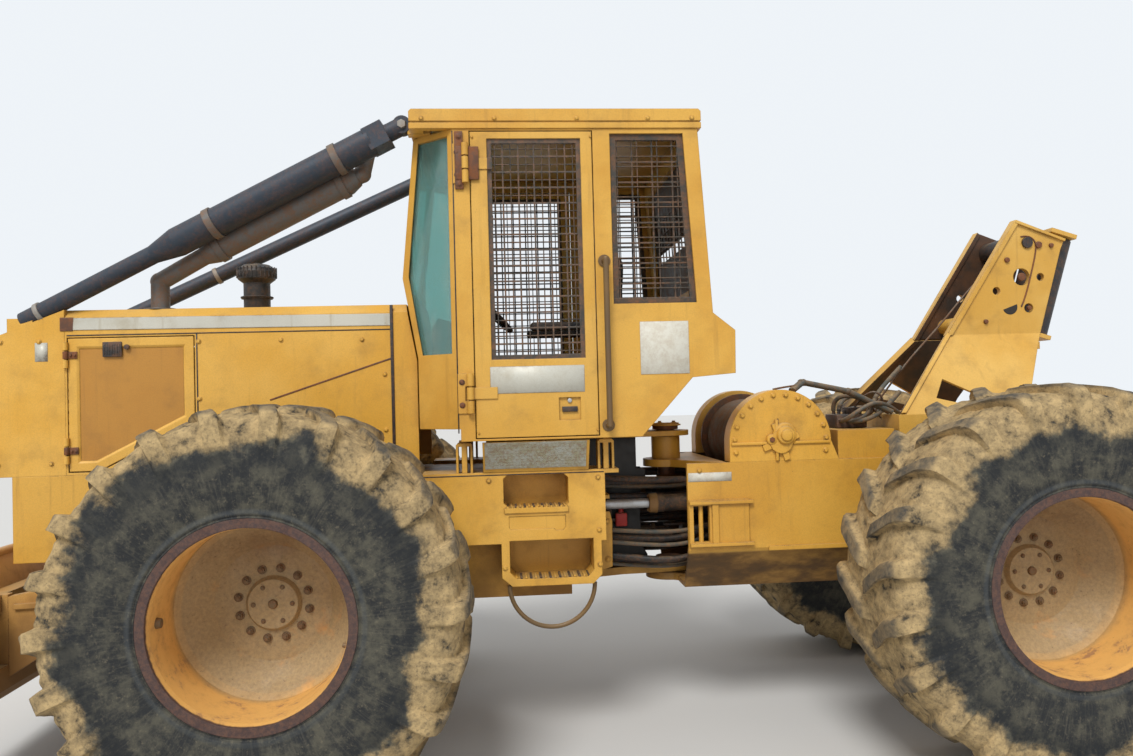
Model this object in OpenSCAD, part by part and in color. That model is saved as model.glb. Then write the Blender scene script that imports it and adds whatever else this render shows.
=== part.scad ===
/* [Wheels] */
// Distance between the two axles
wheelbase = 3500; // [3440:10:3600]
// Distance between the tyres' middle planes on one axle
track = 2080; // [2060:10:2160]
// Radius of a tyre out to the lugs' tips
tyre_r = 885; // [865:5:895]
// Width of a tyre over its lugs
tyre_w = 650; // [620:10:660]
// Height of the tread lugs
lug_h = 42; // [20:2:60]
// Lugs on each side of a tyre
lugs = 22; // [18:1:26]
// Radius of a rim's flange
rim_r = 432; // [420:1:440]
// Distance from the tyre's middle plane to the rim's outer edge
rim_half = 310; // [290:5:315]
// Depth of the wheel disc's middle behind the rim's outer edge
disc_depth = 430; // [400:5:440]

/* [Frame] */
// Width over the front frame's side plates under the hood
front_w = 860; // [840:10:860]
// Width over the front frame's side plates under the cab
waist_w = 720; // [680:10:740]
// Width over the rear frame's side plates
rear_w = 900; // [880:10:920]
// Thickness of the frames' side plates
plate = 25; // [20:1:28]
// Height of the rear frame's deck
deck_z = 1400; // [1390:5:1410]
// Height of the lower edge of both frames
belly_z = 740; // [730:5:760]
// Distance of the steering pivot behind the middle of the wheelbase
pivot_back = 200; // [190:5:210]
// Radius of the steering pivot's pins
pivot_r = 50; // [40:1:55]
// Radial running clearance of pins in their bores
fit = 0.05; // [0.02:0.01:0.1]

/* [Front body] */
// Height of the hood's top
hood_z = 2255; // [2240:5:2280]
// Height of the lower edge of the hood
hood_low = 1440; // [1435:1:1450]
// Thickness of sheet metal
sheet = 8; // [5:1:10]
// Height of the platform beside the cab
platform_z = 1400; // [1390:5:1410]
// Width over the platform and its side boxes
platform_w = 1160; // [1120:10:1180]

/* [Cab] */
// Width of the cab
cab_w = 1360; // [1340:10:1380]
// Height of the cab's roof
cab_top = 3165; // [3150:5:3190]
// Wall thickness of the cab
cab_wall = 45; // [40:1:50]
// Gap round a door
door_gap = 5; // [4:1:8]

/* [Blade] */
// Width of the blade
blade_w = 2300; // [2200:50:2400]
// Radius of the blade's curve
blade_r = 620; // [600:10:660]
// Radius of the pins that the blade's arms turn on
blade_pin_r = 45; // [40:1:50]

/* [Winch and arch] */
// Radius of the winch's side housing
winch_r = 270; // [260:5:275]
// Width over the winch drum's flanges
drum_w = 560; // [520:10:580]
// Width over the arch's upper plates
arch_w = 420; // [400:10:440]
// Thickness of the arch's plates
arch_t = 30; // [25:1:32]
// Radius of the fairlead rollers
roller_r = 60; // [50:1:62]

/* [Hidden] */
$fn = 64;

// Lengthwise places are counted from the middle of the wheelbase; this is the whole machine's middle
centre_x = 375;
front_x = wheelbase / 2;
rear_x = -wheelbase / 2;
axle_z = tyre_r;
pivot_x = -pivot_back;
front_half = front_w / 2;
waist_half = waist_w / 2;
rear_half = rear_w / 2;
cab_half = cab_w / 2;
platform_half = platform_w / 2;

// Front frame: its ends, its foot under the hood and the hangers of the axle's trunnions
frame_front = 3110;
frame_rear = 380;
frame_foot = 1020;
hanger_back = front_x - 350;
hanger_front = front_x + 350;
hanger_t = 70;
trunnion_r = 70;
waist_top = platform_z - 20;
cross = 16;

// Steering joint: plates of both frames, from the top down
top_plate = [1530, 1558];
boss_top = 1525;
low_plate = [belly_z + 46, belly_z + 86];
rear_plate = 40;
nose_r = 130;

// Blade arms, and the blade cylinders' upper and lower eyes
blade_pivot = [2150, 750];
arm_in = 470;
arm_out = 520;
blade_back = 3200;
blade_mid_z = 700;
blade_low = 330;
blade_high = 1050;
beam_x = 3090;
lift_top = [2700, 1220];
lift_low = [3110, 680];
lift_y = 220;

// Steering cylinders' eyes: on the rear frame and on the front frame
steer_reach = 420;
steer_y = 200;
steer_z = 1175;

// Cylinders: eyes, pins and the free space beside an open eye
eye_half = 30;
eye_r = 42;
eye_gap = 8;
lug_t = 20;
eye_pin_r = 25;

// Winch drum's axis
winch_x = -720;
winch_z = 1500;
drum_r = 250;
core_r = 90;
rope_r = 205;
shaft_r = 60;
cover_t = 110;

// Hub and spindle
spindle_r = 75;
hub_r = 190;
hub_len = 110;
disc_t = 16;
bead = 26;
seat_r = rim_r - bead;
rim_t = 12;

// Cab outline from the side: roof edge, belly, screen bulge, rear wall and rear box
roof_low = 3070;
cab_floor = 1560;
nose_floor = 1620;
corner_x = 930;
bulge_x = 1205;
bulge_y = 440;
screen_top_x = 1130;
door_front = 850;
door_back = 250;
door_low = 1570;
door_high = 3060;
door_t = 35;
hinge_x = 870;
hinge_off = 20;

// Hood, guard and engine door
guard_back = 2855;
guard_front = 3240;
hood_back = 1270;
cowl_back = 1142;
door_edge = 2240;
edge_cut = 40;

// Riser tubes: the foot on the guard and the eye at the cab's front corner
riser_foot = [3065, 388, 2205];
riser_eye = [1178, 560, 3120];
riser_r = 45;
sleeve_r = 72;

// Arch: crease height, foot height and rollers
crease_z = 2050;
foot_z = 1620;
foot_half = 430;

// Everything is drawn from the middle of the wheelbase, then moved to the machine's middle
module rig() {
    translate([-centre_x, 0, 0])
        children();
}

module both_sides() {
    children();
    mirror([0, 1, 0])
        children();
}

// A box between two corners
module box(low, high) {
    translate(low)
        cube(high - low);
}

// An outline in x and z, from y0 to y1
module slab(points, y0, y1) {
    translate([0, y1, 0])
        rotate([90, 0, 0])
            linear_extrude(y1 - y0)
                polygon(points);
}

// An outline in x and y, from z0 to z1
module plan(points, z0, z1) {
    translate([0, 0, z0])
        linear_extrude(z1 - z0)
            polygon(points);
}

// An outline in y and z, from x0 to x1
module section(points, x0, x1) {
    translate([x0, 0, 0])
        rotate([90, 0, 90])
            linear_extrude(x1 - x0)
                polygon(points);
}

module rod_x(x0, x1, y, z, r) {
    translate([x0, y, z])
        rotate([0, 90, 0])
            cylinder(h = x1 - x0, r = r);
}

module rod_y(x, y0, y1, z, r) {
    translate([x, y0, z])
        rotate([-90, 0, 0])
            cylinder(h = y1 - y0, r = r);
}

module rod_z(x, y, z0, z1, r) {
    translate([x, y, z0])
        cylinder(h = z1 - z0, r = r);
}

// What runs along +x from the origin is laid from point a towards point b
module towards(a, b) {
    d = b - a;
    translate(a)
        rotate([0, -atan2(d[2], norm([d[0], d[1]])), atan2(d[1], d[0])])
            children();
}

// A round bar between two points, with its radius at each end
module bar(a, b, r0, r1) {
    towards(a, b)
        rotate([0, 90, 0])
            cylinder(h = norm(b - a), r1 = r0, r2 = r1);
}

// Points of an arc in a plane
function arc(c, r, a0, a1, n) = [for (i = [0:n]) let (a = a0 + (a1 - a0) * i / n) c + r * [cos(a), sin(a)]];

// A point part of the way from a to b
function along(a, b, t) = a + (b - a) * t;

module front_frame() {
    color("goldenrod")
    rig()
    difference() {
        union() {
            // Side plates under the hood, arched over the axle
            both_sides()
                slab([
                    [hanger_back, belly_z], [hanger_back + hanger_t, belly_z], [hanger_back + 140, 1170],
                    [hanger_front - 120, 1170], [hanger_front - hanger_t, 640], [hanger_front + 130, 640],
                    [hanger_front + 230, frame_foot], [frame_front, frame_foot], [frame_front, hood_low],
                    [hanger_back, hood_low]
                ], front_half - plate, front_half);
            // Side plates under the cab
            both_sides()
                slab([
                    [frame_rear, waist_top], [frame_rear, belly_z], [hanger_back, belly_z],
                        [hanger_back, waist_top]
                ], waist_half - plate, waist_half);
            // Cross plates: rear bulkhead, the two trunnion hangers and the front bumper
            box([frame_rear, -waist_half + plate, belly_z],
                [frame_rear + plate, waist_half - plate, waist_top]);
            box([hanger_back, -front_half + plate, belly_z],
                [hanger_back + hanger_t, front_half - plate, waist_top]);
            box([hanger_front, -front_half + plate, belly_z],
                [hanger_front + hanger_t, front_half - plate, 1300]);
            box([frame_front - plate, -front_half + plate, frame_foot],
                [frame_front, front_half - plate, hood_low]);
            // Floor and top plates under the cab
            for (z = [belly_z, waist_top - cross])
                box([frame_rear, -waist_half + plate, z], [hanger_back, waist_half - plate, z + cross]);
            // Engine beams, each on a hanger's side of the axle
            for (x = [hanger_back + 80, hanger_front + 400])
                box([x, -front_half + plate, 1250], [x + 90, front_half - plate, 1340]);
            // Steering joint: tower, top plate and lower plate with round noses
            box([frame_rear, -150, waist_top], [700, 150, top_plate[0]]);
            hinge_plate(top_plate, 700, 150);
            hinge_plate(low_plate, frame_rear + 20, 240);
            // Blade arm bosses
            both_sides() {
                rod_y(blade_pivot[0], front_half - plate, arm_out + 6, blade_pivot[1], blade_pin_r);
                rod_y(blade_pivot[0], front_half, arm_in - 6, blade_pivot[1], 85);
                rod_y(blade_pivot[0], arm_out + 6, arm_out + 20, blade_pivot[1], 65);
            }
            // Lugs above and below each steering cylinder's open eye
            both_sides()
                for (z = [steer_z - eye_half - eye_gap - lug_t, steer_z + eye_half + eye_gap])
                    box([pivot_x + steer_reach - 60, steer_y - 70, z], [frame_rear, steer_y + 60, z + lug_t]);
            // Lift cylinder beam, lugs and pins
            box([lift_top[0] - 70, -front_half + plate, 1290], [lift_top[0] + 70, front_half - plate, 1320]);
            both_sides() {
                for (y = [lift_y - eye_half - 5 - lug_t, lift_y + eye_half + 5])
                    slab(concat(
                        [[lift_top[0] + 70, 1290], [lift_top[0] - 70, 1290]],
                        arc(lift_top, 50, 200, 340, 8)
                    ), y, y + lug_t);
                rod_y(lift_top[0], lift_y - eye_half - 5, lift_y + eye_half + 5, lift_top[1], eye_pin_r);
            }
            // Tow hitch ears below the front bumper
            both_sides()
                slab([[frame_front, 1200], [frame_front, 1040], [3150, 1040], [3180, 1070], [3180, 1170],
                    [3150, 1200]], 60, 85);
        }
        rod_z(pivot_x, 0, belly_z, top_plate[1] + 1, pivot_r + fit);
        rod_x(hanger_back - 1, hanger_back + hanger_t + 1, 0, axle_z, trunnion_r + fit);
        rod_x(hanger_front - 1, hanger_front + hanger_t + 1, 0, axle_z, trunnion_r + fit);
        // Tow pin bore
        rod_y(3150, -90, 90, 1120, 20);
    }
}

// A plate with a round nose about the steering pivot
module hinge_plate(z, front, half) {
    rod_z(pivot_x, 0, z[0], z[1], nose_r);
    plan([
        [pivot_x, -nose_r], [pivot_x + 280, -min(half, 150)], [front, -half],
        [front, half], [pivot_x + 280, min(half, 150)], [pivot_x, nose_r]
    ], z[0], z[1]);
}

module engine() {
    color("dimgray")
    rig()
        box([1480, -290, 1340], [2750, 290, 2050]);
}

module transmission() {
    color("dimgray")
    rig() {
        box([520, -250, belly_z + cross], [1240, 250, waist_top - cross]);
        rod_x(1240, hanger_back - 10, 0, axle_z, 60);
    }
}

module radiator_guard() {
    color("goldenrod")
    rig()
    difference() {
        union() {
            difference() {
                slab([
                    [guard_back, hood_low], [guard_front - 20, hood_low], [guard_front, 2060],
                    [guard_front - 40, 2120], [guard_back, hood_z]
                ], -front_half, front_half);
                slab([
                    [guard_back - 1, hood_low + 30], [guard_front - 50, hood_low + 30],
                        [guard_front - 35, 2030],
                    [guard_front - 70, 2090], [guard_back - 1, hood_z - 30]
                ], -front_half + 20, front_half - 20);
                box([guard_front - 90, -front_half + 70, hood_low + 90],
                    [guard_front + 1, front_half - 70, 2000]);
            }
            // Grille bars
            for (i = [0:8])
                box([guard_front - 60, -front_half + 70, hood_low + 120 + 62 * i - 8],
                    [guard_front - 36, front_half - 70, hood_low + 120 + 62 * i + 8]);
            // Riser pedestals
            both_sides()
                box([riser_foot[0] - 60, front_half - 72, 2040], [riser_foot[0] + 60, front_half, 2215]);
        }
        both_sides()
            riser_tube();
    }
}

// The hood's outline from the front, drawn inward by t
function hood_outline(t) = [
    [-front_half + t, hood_low], [front_half - t, hood_low],
    [front_half - t, hood_z - edge_cut - 0.4 * t], [front_half - edge_cut - 0.4 * t, hood_z - t],
    [-front_half + edge_cut + 0.4 * t, hood_z - t], [-front_half + t, hood_z - edge_cut - 0.4 * t]
];

// Engine door: its lower edge rises to clear the tyre
function engine_door_outline(g) = [
    [guard_back - 15 - g, hood_low + 18 + g], [guard_back - 15 - g, 2112 - g], [door_edge + g, 2112 - g],
    [door_edge + g, 1690 + g], [2700, hood_low + 18 + g]
];

module hood() {
    color("goldenrod")
    rig()
    difference() {
        union() {
            difference() {
                section(hood_outline(0), cowl_back, guard_back);
                section(hood_outline(sheet), cowl_back - 1, guard_back + 1);
                // The cowl's end follows the screen
                slab([[cowl_back - 1, 1965], [cowl_back, 1965], [cowl_back + 52, hood_z + 1],
                    [cowl_back - 1, hood_z + 1]],
                    -front_half - 1, front_half + 1);
            }
            // Stiffening frames at both ends and behind the engine door
            for (x = [hood_back, door_edge - 60])
                difference() {
                    section(hood_outline(sheet), x, x + 25);
                    section(hood_outline(50), x - 1, x + 26);
                    box([x - 1, -front_half + 50, hood_low - 1], [x + 26, front_half - 50, hood_low + 60]);
                }
            both_sides()
                door_knuckles(guard_back - 7, front_half + 10, 8, [1560, 2030], 40, 12);
        }
        both_sides()
            slab(engine_door_outline(-5), front_half - sheet - 2, front_half + 1);
        rod_z(2040, 0, hood_z - 2 * sheet, hood_z + 1, 76);
        rod_z(2435, 320, hood_z - 2 * sheet, hood_z + 1, 52);
    }
}

// Fixed halves of hinges about a vertical pin: a knuckle above and below each place
module door_knuckles(x, y, pin, places, half, r) {
    for (z = places, s = [-1, 1])
        difference() {
            union() {
                rod_z(x, y, z + s * half * 1.1 - half / 2, z + s * half * 1.1 + half / 2, r);
                box([x - 2, y - r, z + s * half * 1.1 - half / 2], [x + 2, y, z + s * half * 1.1 + half / 2]);
            }
            rod_z(x, y, z - 3 * half, z + 3 * half, pin / 2 + fit);
        }
}

module engine_door() {
    color("goldenrod") {
        slab(engine_door_outline(0), front_half - sheet, front_half);
        for (z = [1560, 2030]) {
            rod_z(guard_back - 7, front_half + 10, z - 18, z + 18, 9);
            rod_z(guard_back - 7, front_half + 10, z - 60, z + 60, 4);
            box([guard_back - 60, front_half, z - 17], [guard_back - 12, front_half + 6, z + 17]);
        }
    }
}

module engine_door_left() {
    rig()
        engine_door();
}

module engine_door_right() {
    rig()
    mirror([0, 1, 0])
        engine_door();
}

// The cab's outline from the side, drawn inward by t
function cab_side(t) = [
    [screen_top_x - t, roof_low], [bulge_x - t, 2380], [screen_top_x - t, 1970],
        [screen_top_x - t, nose_floor + t],
    [corner_x - 10 - t / 2, nose_floor + t], [corner_x - 10 - t / 2, cab_floor + t],
        [42 + 0.4 * t, cab_floor + t],
    [-215 + 0.4 * t, 1842 + t], [-430 + t, 1858 + t], [-434 + t, 2070 - t / 2], [-325 + t, 2158 - t / 2],
    [-272 + t, roof_low]
];

// The cab's outline from above, with cut front corners, drawn inward by t
function cab_plan(t) = [
    [-460, -cab_half + t], [corner_x - 0.4 * t, -cab_half + t], [bulge_x, -bulge_y + 1.4 * t],
    [bulge_x, bulge_y - 1.4 * t], [corner_x - 0.4 * t, cab_half - t], [-460, cab_half - t]
];

module cab_block(t) {
    intersection() {
        plan(cab_plan(t), 1400, 3200);
        slab(cab_side(t), -cab_half, cab_half);
    }
}

function door_outline(g) = [
    [door_front - g, door_low + g], [door_front - g, door_high - g], [door_back + g, door_high - g],
    [door_back + g, door_low + g]
];

// Quarter window behind the door
function quarter_outline(g) = [
    [165 - g, 2210 + g], [165 - g, 3045 - g], [-198 + g, 3045 - g], [-246 + g, 2210 + g]
];

// A strip along the cab's cut corner, between two depths behind its face
module corner_strip(d0, d1) {
    a = [corner_x, cab_half];
    b = [bulge_x, bulge_y];
    u = (b - a) / norm(b - a);
    n = [-u[1], u[0]];
    plan([a - n * d0 + u * 20, b - n * d0 - u * 12, b - n * d1 - u * 12, a - n * d1 + u * 20], 1900, 3100);
}

// Tall corner window, as far as it shows from the side
function corner_outline(g) = [
    [955 + g, 1985 + g], [1105 - g, 1985 + g], [1172 - g, 2385], [1104 - g, 3040 - g], [955 + g, 3040 - g]
];

module corner_window(g, d0, d1) {
    intersection() {
        corner_strip(d0, d1);
        slab(corner_outline(g), 0, cab_half);
    }
}

// Windscreen above the hood, between two depths behind the screen
module windscreen(d0, d1) {
    slab([
        [bulge_x - d0 - 8, 2300], [bulge_x - d0, 2380], [screen_top_x + 6 - d0, 3030],
        [screen_top_x + 6 - d1, 3030], [bulge_x - d1, 2380], [bulge_x - d1 - 8, 2300]
    ], -400, 400);
}

module cab_shell() {
    color("goldenrod")
    rig()
    difference() {
        union() {
            difference() {
                cab_block(0);
                cab_block(cab_wall);
            }
            both_sides() {
                door_knuckles(hinge_x, cab_half + hinge_off, 16, [1790, 2900], 60, 16);
                // Hinge leaves on the front pillar, and the riser's bracket
                for (z = [1790, 2900])
                    box([hinge_x - 2, cab_half, z - 96], [corner_x, cab_half + 6, z + 96]);
                intersection() {
                    box([1040, riser_eye[1] - 30, 3070], [1150, riser_eye[1] + 30, 3140]);
                    box([1040, 0, 3070], [1150, cab_half, 3140]);
                }
            }
        }
        both_sides() {
            slab(door_outline(0), cab_half - 80, cab_half + 1);
            slab(quarter_outline(0), cab_half - 80, cab_half + 1);
            corner_window(0, -40, 70);
            for (z = [1790, 2900])
                box([hinge_x - 26, cab_half - 6, z - 35], [hinge_x + 24, cab_half + 60, z + 35]);
        }
        windscreen(-40, 90);
        box([-500, -520, 2300], [-200, 520, 2990]);
        both_sides()
            riser_tube();
    }
}

module cab_roof() {
    color("goldenrod")
    rig()
    difference() {
        union() {
            box([-290, -cab_half - 8, roof_low], [screen_top_x + 6, cab_half + 8, roof_low + 28]);
            box([-284, -cab_half - 2, roof_low + 28], [screen_top_x, cab_half + 2, roof_low + 36]);
            slab([
                [-290, roof_low + 36], [screen_top_x + 6, roof_low + 36], [screen_top_x + 6, cab_top - 12],
                [screen_top_x - 6, cab_top], [-278, cab_top], [-290, cab_top - 12]
            ], -cab_half - 8, cab_half + 8);
        }
        box([-240, -cab_half + 40, roof_low - 1], [screen_top_x - 60, cab_half - 40, cab_top - 40]);
        both_sides()
            riser_tube();
        both_sides()
            box([1030, riser_eye[1] - 40, roof_low - 1], [1160, riser_eye[1] + 40, 3141]);
    }
}

module cab_glass() {
    color("paleturquoise")
    rig() {
        windscreen(18, 24);
        both_sides()
            corner_window(0, 18, 24);
    }
}

// A frame between two outlines, with crossed bars in it
module mesh(outer, inner, y0, y1, pitch) {
    x0 = min([for (p = outer) p[0]]);
    x1 = max([for (p = outer) p[0]]);
    z0 = min([for (p = outer) p[1]]);
    z1 = max([for (p = outer) p[1]]);
    difference() {
        slab(outer, y0, y1);
        slab(inner, y0 - 1, y1 + 1);
    }
    intersection() {
        slab(outer, y0, y1);
        union() {
            for (x = [x0 + pitch:pitch:x1 - pitch / 2])
                box([x - 4, y0 + 4, z0], [x + 4, y0 + 10, z1]);
            for (z = [z0 + pitch:pitch:z1 - pitch / 2])
                box([x0, y0 + 4, z - 4], [x1, y0 + 10, z + 4]);
        }
    }
}

module window_guards() {
    color("dimgray")
    rig() {
        both_sides()
            mesh(quarter_outline(0), quarter_outline(30), cab_half - 34, cab_half - 12, 100);
        // Rear guard, in the slanted rear wall
        difference() {
            slab([[-312, 2300], [-272, 2990], [-256, 2990], [-296, 2300]], -520, 520);
            slab([[-320, 2335], [-262, 2955], [-236, 2955], [-306, 2335]], -485, 485);
        }
        for (i = [1:11])
            slab([[-307, 2310], [-269, 2980], [-263, 2980], [-301, 2310]], -524 + 87 * i, -516 + 87 * i);
        for (i = [1:7])
            box([-307 + 4.8 * i, -500, 2297 + 84 * i], [-301 + 4.8 * i, 500, 2305 + 84 * i]);
    }
}

// Rubber mounts between the platform and the cab's floor
module cab_mounts() {
    color("goldenrod")
    rig()
        both_sides()
            for (x = [170, 870])
                difference() {
                    union() {
                        slab([
                            [x, platform_z], [x, cab_floor - 22], [x + 10, cab_floor - 12],
                                [x + 72, cab_floor - 12],
                            [x + 82, cab_floor - 22], [x + 82, platform_z]
                        ], 500, 575);
                        rod_z(x + 41, 540, cab_floor - 12, cab_floor, 26);
                    }
                    box([x + 12, 499, platform_z - 1], [x + 28, 576, cab_floor - 30]);
                    box([x + 54, 499, platform_z - 1], [x + 70, 576, cab_floor - 30]);
                }
}

module seat() {
    color("black")
    rig() {
        box([200, -160, cab_floor + cab_wall], [480, 160, 1850]);
        box([120, -250, 1850], [620, 250, 1965]);
        slab([[90, 1930], [200, 1965], [150, 2560], [60, 2560]], -240, 240);
        both_sides() {
            box([170, 265, 2110], [560, 325, 2160]);
            box([150, 240, 1950], [190, 290, 2135]);
        }
    }
}

module console() {
    color("black")
    rig() {
        slab([
            [910, nose_floor + cab_wall], [1070, nose_floor + cab_wall], [1070, 2130],
                [1040, 2190], [940, 2160]
        ], -300, 300);
        bar([960, 0, 2100], [790, 0, 2270], 26, 26);
        translate([790, 0, 2270])
            rotate([0, -45, 0]) {
                rotate_extrude()
                    translate([185, 0])
                        circle(r = 14);
                rod_x(-180, 180, 0, 0, 11);
                rotate([0, 0, 90])
                    rod_x(-180, 180, 0, 0, 11);
            }
    }
}

// A riser's bare tube and the eye at its upper end
module riser_tube() {
    bar(riser_foot, riser_eye, riser_r, riser_r);
    rod_y(riser_eye[0], riser_eye[1] - 32, riser_eye[1] + 32, riser_eye[2], 44);
}

// A point on the riser's axis at a given x
function riser_at(x) = along(riser_foot, riser_eye, (riser_foot[0] - x) / (riser_foot[0] - riser_eye[0]));

// A point on the muffler's axis at a given x
function muffler_at(x) = riser_at(x) + [0, -110, -100];

module risers() {
    color("dimgray")
    rig() {
        both_sides()
            riser_tube();
        // Thick sleeve round the left tube, with a cone at its lower end and a block at its upper end
        bar(riser_at(2420), riser_at(2300), riser_r, sleeve_r);
        bar(riser_at(2300), riser_at(1330), sleeve_r, sleeve_r);
        towards(riser_at(1345), riser_at(1240))
            translate([0, -66, -58])
                cube([105, 132, 116]);
    }
}

module muffler() {
    color("saddlebrown")
    rig()
    difference() {
        union() {
            // Pipe out of the hood
            rod_z(2435, 320, hood_z, 2262, 78);
            rod_z(2435, 320, hood_z - 40, 2400, 45);
            translate([2435, 320, 2400])
                sphere(r = 47);
            bar([2435, 320, 2400], muffler_at(2180), 45, 45);
            bar(muffler_at(2200), muffler_at(2150), 48, 66);
            bar(muffler_at(2150), muffler_at(1470), 66, 66);
            bar(muffler_at(1470), muffler_at(1420), 66, 48);
            // Outlet elbow
            bar(muffler_at(1430), muffler_at(1395), 42, 42);
            translate(muffler_at(1395))
                sphere(r = 44);
            bar(muffler_at(1395), muffler_at(1395) + [-20, -80, 150], 42, 42);
            // Straps to the riser's sleeve
            for (x = [2120, 1500]) {
                bar(muffler_at(x + 16), muffler_at(x - 16), 74, 74);
                bar(riser_at(x + 16), riser_at(x - 16), sleeve_r + 8, sleeve_r + 8);
            }
        }
        bar(riser_at(2600), riser_at(1250), sleeve_r, sleeve_r);
    }
}

module precleaner() {
    color("black")
    rig() {
        rod_z(2040, 0, hood_z, hood_z + 12, 105);
        rod_z(2040, 0, hood_z - 30, 2440, 70);
        rod_z(2040, 0, 2340, 2352, 82);
        translate([2040, 0, 2425])
            rotate_extrude()
                polygon([[0, 0], [70, 0], [98, 22], [105, 60], [98, 80], [70, 100], [0, 105]]);
    }
}

module side_boxes() {
    color("goldenrod")
    rig()
    both_sides()
        difference() {
            union() {
                // Platform, shell of the box and its rear tail
                difference() {
                    box([220, waist_half, 1047], [1130, platform_half, platform_z]);
                    box([230, waist_half + 1, 1057], [1120, platform_half - 8, platform_z - 10]);
                }
                box([150, waist_half, platform_z - 20], [220, platform_half, platform_z]);
                // Step in the box, and the bucket step below it
                box([390, 430, 1205], [736, platform_half, 1398]);
                slab([[245, 1047], [245, 880], [290, 836], [690, 836], [740, 880], [740, 1047]],
                    waist_half, platform_half);
                // Serrated lip below the step, and the slanting sill under the door
                box([405, platform_half, 1196], [722, platform_half + 8, 1222]);
                for (i = [0:12])
                    box([412 + 24 * i, platform_half, 1222], [422 + 24 * i, platform_half + 8, 1230]);
                section([[platform_half, platform_z], [platform_half + 4, platform_z], [672, 1552],
                    [650, 1552],
                    [platform_half - 20, platform_z]], 300, 820);
                // Frame stiffeners under the platform
                for (x = [250, 950])
                    box([x, waist_half, 1020], [x + 60, platform_half - 60, 1047]);
            }
            slab([
                [420, 1222], [700, 1222], [724, 1246], [724, 1366], [700, 1388], [428, 1388],
                    [404, 1364], [404, 1238]
            ], 440, platform_half + 1);
            slab([
                [285, 1060], [285, 905], [315, 872], [670, 872], [700, 905], [700, 1060]
            ], 400, platform_half + 1);
            // Notched lower panel
            slab([[420, 1120], [435, 1105], [470, 1105], [480, 1115], [690, 1115], [700, 1125], [700, 1180],
                [420, 1180]], platform_half - 4, platform_half + 1);
        }
}

module handholds() {
    color("dimgray")
    rig()
    both_sides() {
        for (z = [1620, 2420]) {
            rod_y(207, cab_half, 740, z, 14);
            translate([207, 740, z])
                sphere(r = 14);
            rod_y(207, cab_half, cab_half + 5, z, 30);
        }
        rod_z(207, 740, 1620, 2420, 14);
        // Cable loops under the bucket steps
        difference() {
            translate([492, 545, 836])
                rotate([90, 0, 0])
                    rotate_extrude()
                        translate([212, 0])
                            circle(r = 11);
            box([200, 500, 836], [800, 600, 1100]);
        }
    }
}

module axle_body() {
    rod_y(0, -640, 640, 0, 130);
    sphere(r = 230);
    both_sides() {
        rod_y(0, 600, 700, 0, 185);
        rod_y(0, 700, track / 2 + rim_half - disc_depth - disc_t - hub_len - 6, 0, 165);
        rod_y(0, 760, track / 2 + rim_half - disc_depth - disc_t - 6, 0, spindle_r);
    }
}

module front_axle() {
    color("dimgray")
    rig()
    translate([front_x, 0, axle_z]) {
        axle_body();
        rod_x(-345, 425, 0, 0, trunnion_r);
        rod_x(-274, 344, 0, 0, 110);
    }
}

module rear_axle() {
    color("dimgray")
    rig()
        translate([rear_x, 0, axle_z])
            axle_body();
}

// One tread lug, running out and back from the middle of the tread
function lug_outline() = [[-40, 5], [35, 5], [-60, 150], [-120, 330], [-200, 330], [-145, 150]];

// Distance of the tyre's side from its middle plane at a given radius
function side_at(r) = tyre_w / 2 - 30 * pow((r - 600) / 200, 2);

module tread_lug(angle, lean) {
    rotate([0, 0, angle])
        translate([760, 0, 0])
            rotate([90, 0, 90])
                linear_extrude(140)
                    polygon([for (p = lug_outline()) [lean * p[0], p[1]]]);
}

// A tyre about the z axis, its lugs leaning one way round or the other
module tyre_shape(lean) {
    low = [for (r = [440, 500, 560, 640, 720, 790]) [r, -side_at(r)]];
    high = [for (i = [5:-1:0]) [low[i][0], -low[i][1]]];
    tread = tyre_r - lug_h;
    intersection() {
        union() {
            rotate_extrude($fn = 96)
                polygon(concat(
                    [[seat_r, -280], [rim_r, -298], [rim_r + 1, -rim_half - 1]], low,
                    [[815, -285], [tread, -200], [tread, 200], [815, 285]],
                    high, [[rim_r + 1, rim_half + 1], [rim_r, 298], [seat_r, 280]]
                ));
            for (i = [0:lugs - 1]) {
                tread_lug(i * 360 / lugs, lean);
                mirror([0, 0, 1])
                    tread_lug((i + 0.5) * 360 / lugs, lean);
            }
        }
        rotate_extrude($fn = 96)
            polygon([
                [seat_r - 1, -tyre_w / 2 - 1], [700, -tyre_w / 2 - 1], [820, -325], [tyre_r - 17, -310],
                [tyre_r, -270], [tyre_r, 270], [tyre_r - 17, 310], [820, 325], [700, tyre_w / 2 + 1],
                [seat_r - 1, tyre_w / 2 + 1]
            ]);
    }
}

// A rim with its disc and hub, about the z axis, the outer side up
module rim_shape() {
    disc_z = rim_half - disc_depth;
    difference() {
        union() {
            rotate_extrude($fn = 96)
                polygon([
                    [seat_r - rim_t, -rim_half], [rim_r, -rim_half], [rim_r, -298], [seat_r, -280],
                        [seat_r, 280],
                    [rim_r, 298], [rim_r, rim_half], [seat_r - rim_t, rim_half], [seat_r - rim_t - 6, 270],
                    [seat_r - rim_t - 6, -270]
                ]);
            rotate_extrude($fn = 96)
                polygon([
                    [seat_r - rim_t, disc_z + 130], [seat_r - rim_t, disc_z + 112], [250, disc_z - disc_t],
                    [0, disc_z - disc_t], [0, disc_z], [255, disc_z]
                ]);
            translate([0, 0, disc_z - disc_t - hub_len])
                cylinder(h = hub_len, r = hub_r);
            translate([0, 0, disc_z])
                cylinder(h = 26, r1 = 122, r2 = 108);
        }
        translate([0, 0, disc_z - disc_t - hub_len - 1])
            cylinder(h = hub_len + 1, r = spindle_r + fit);
    }
}

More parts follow.
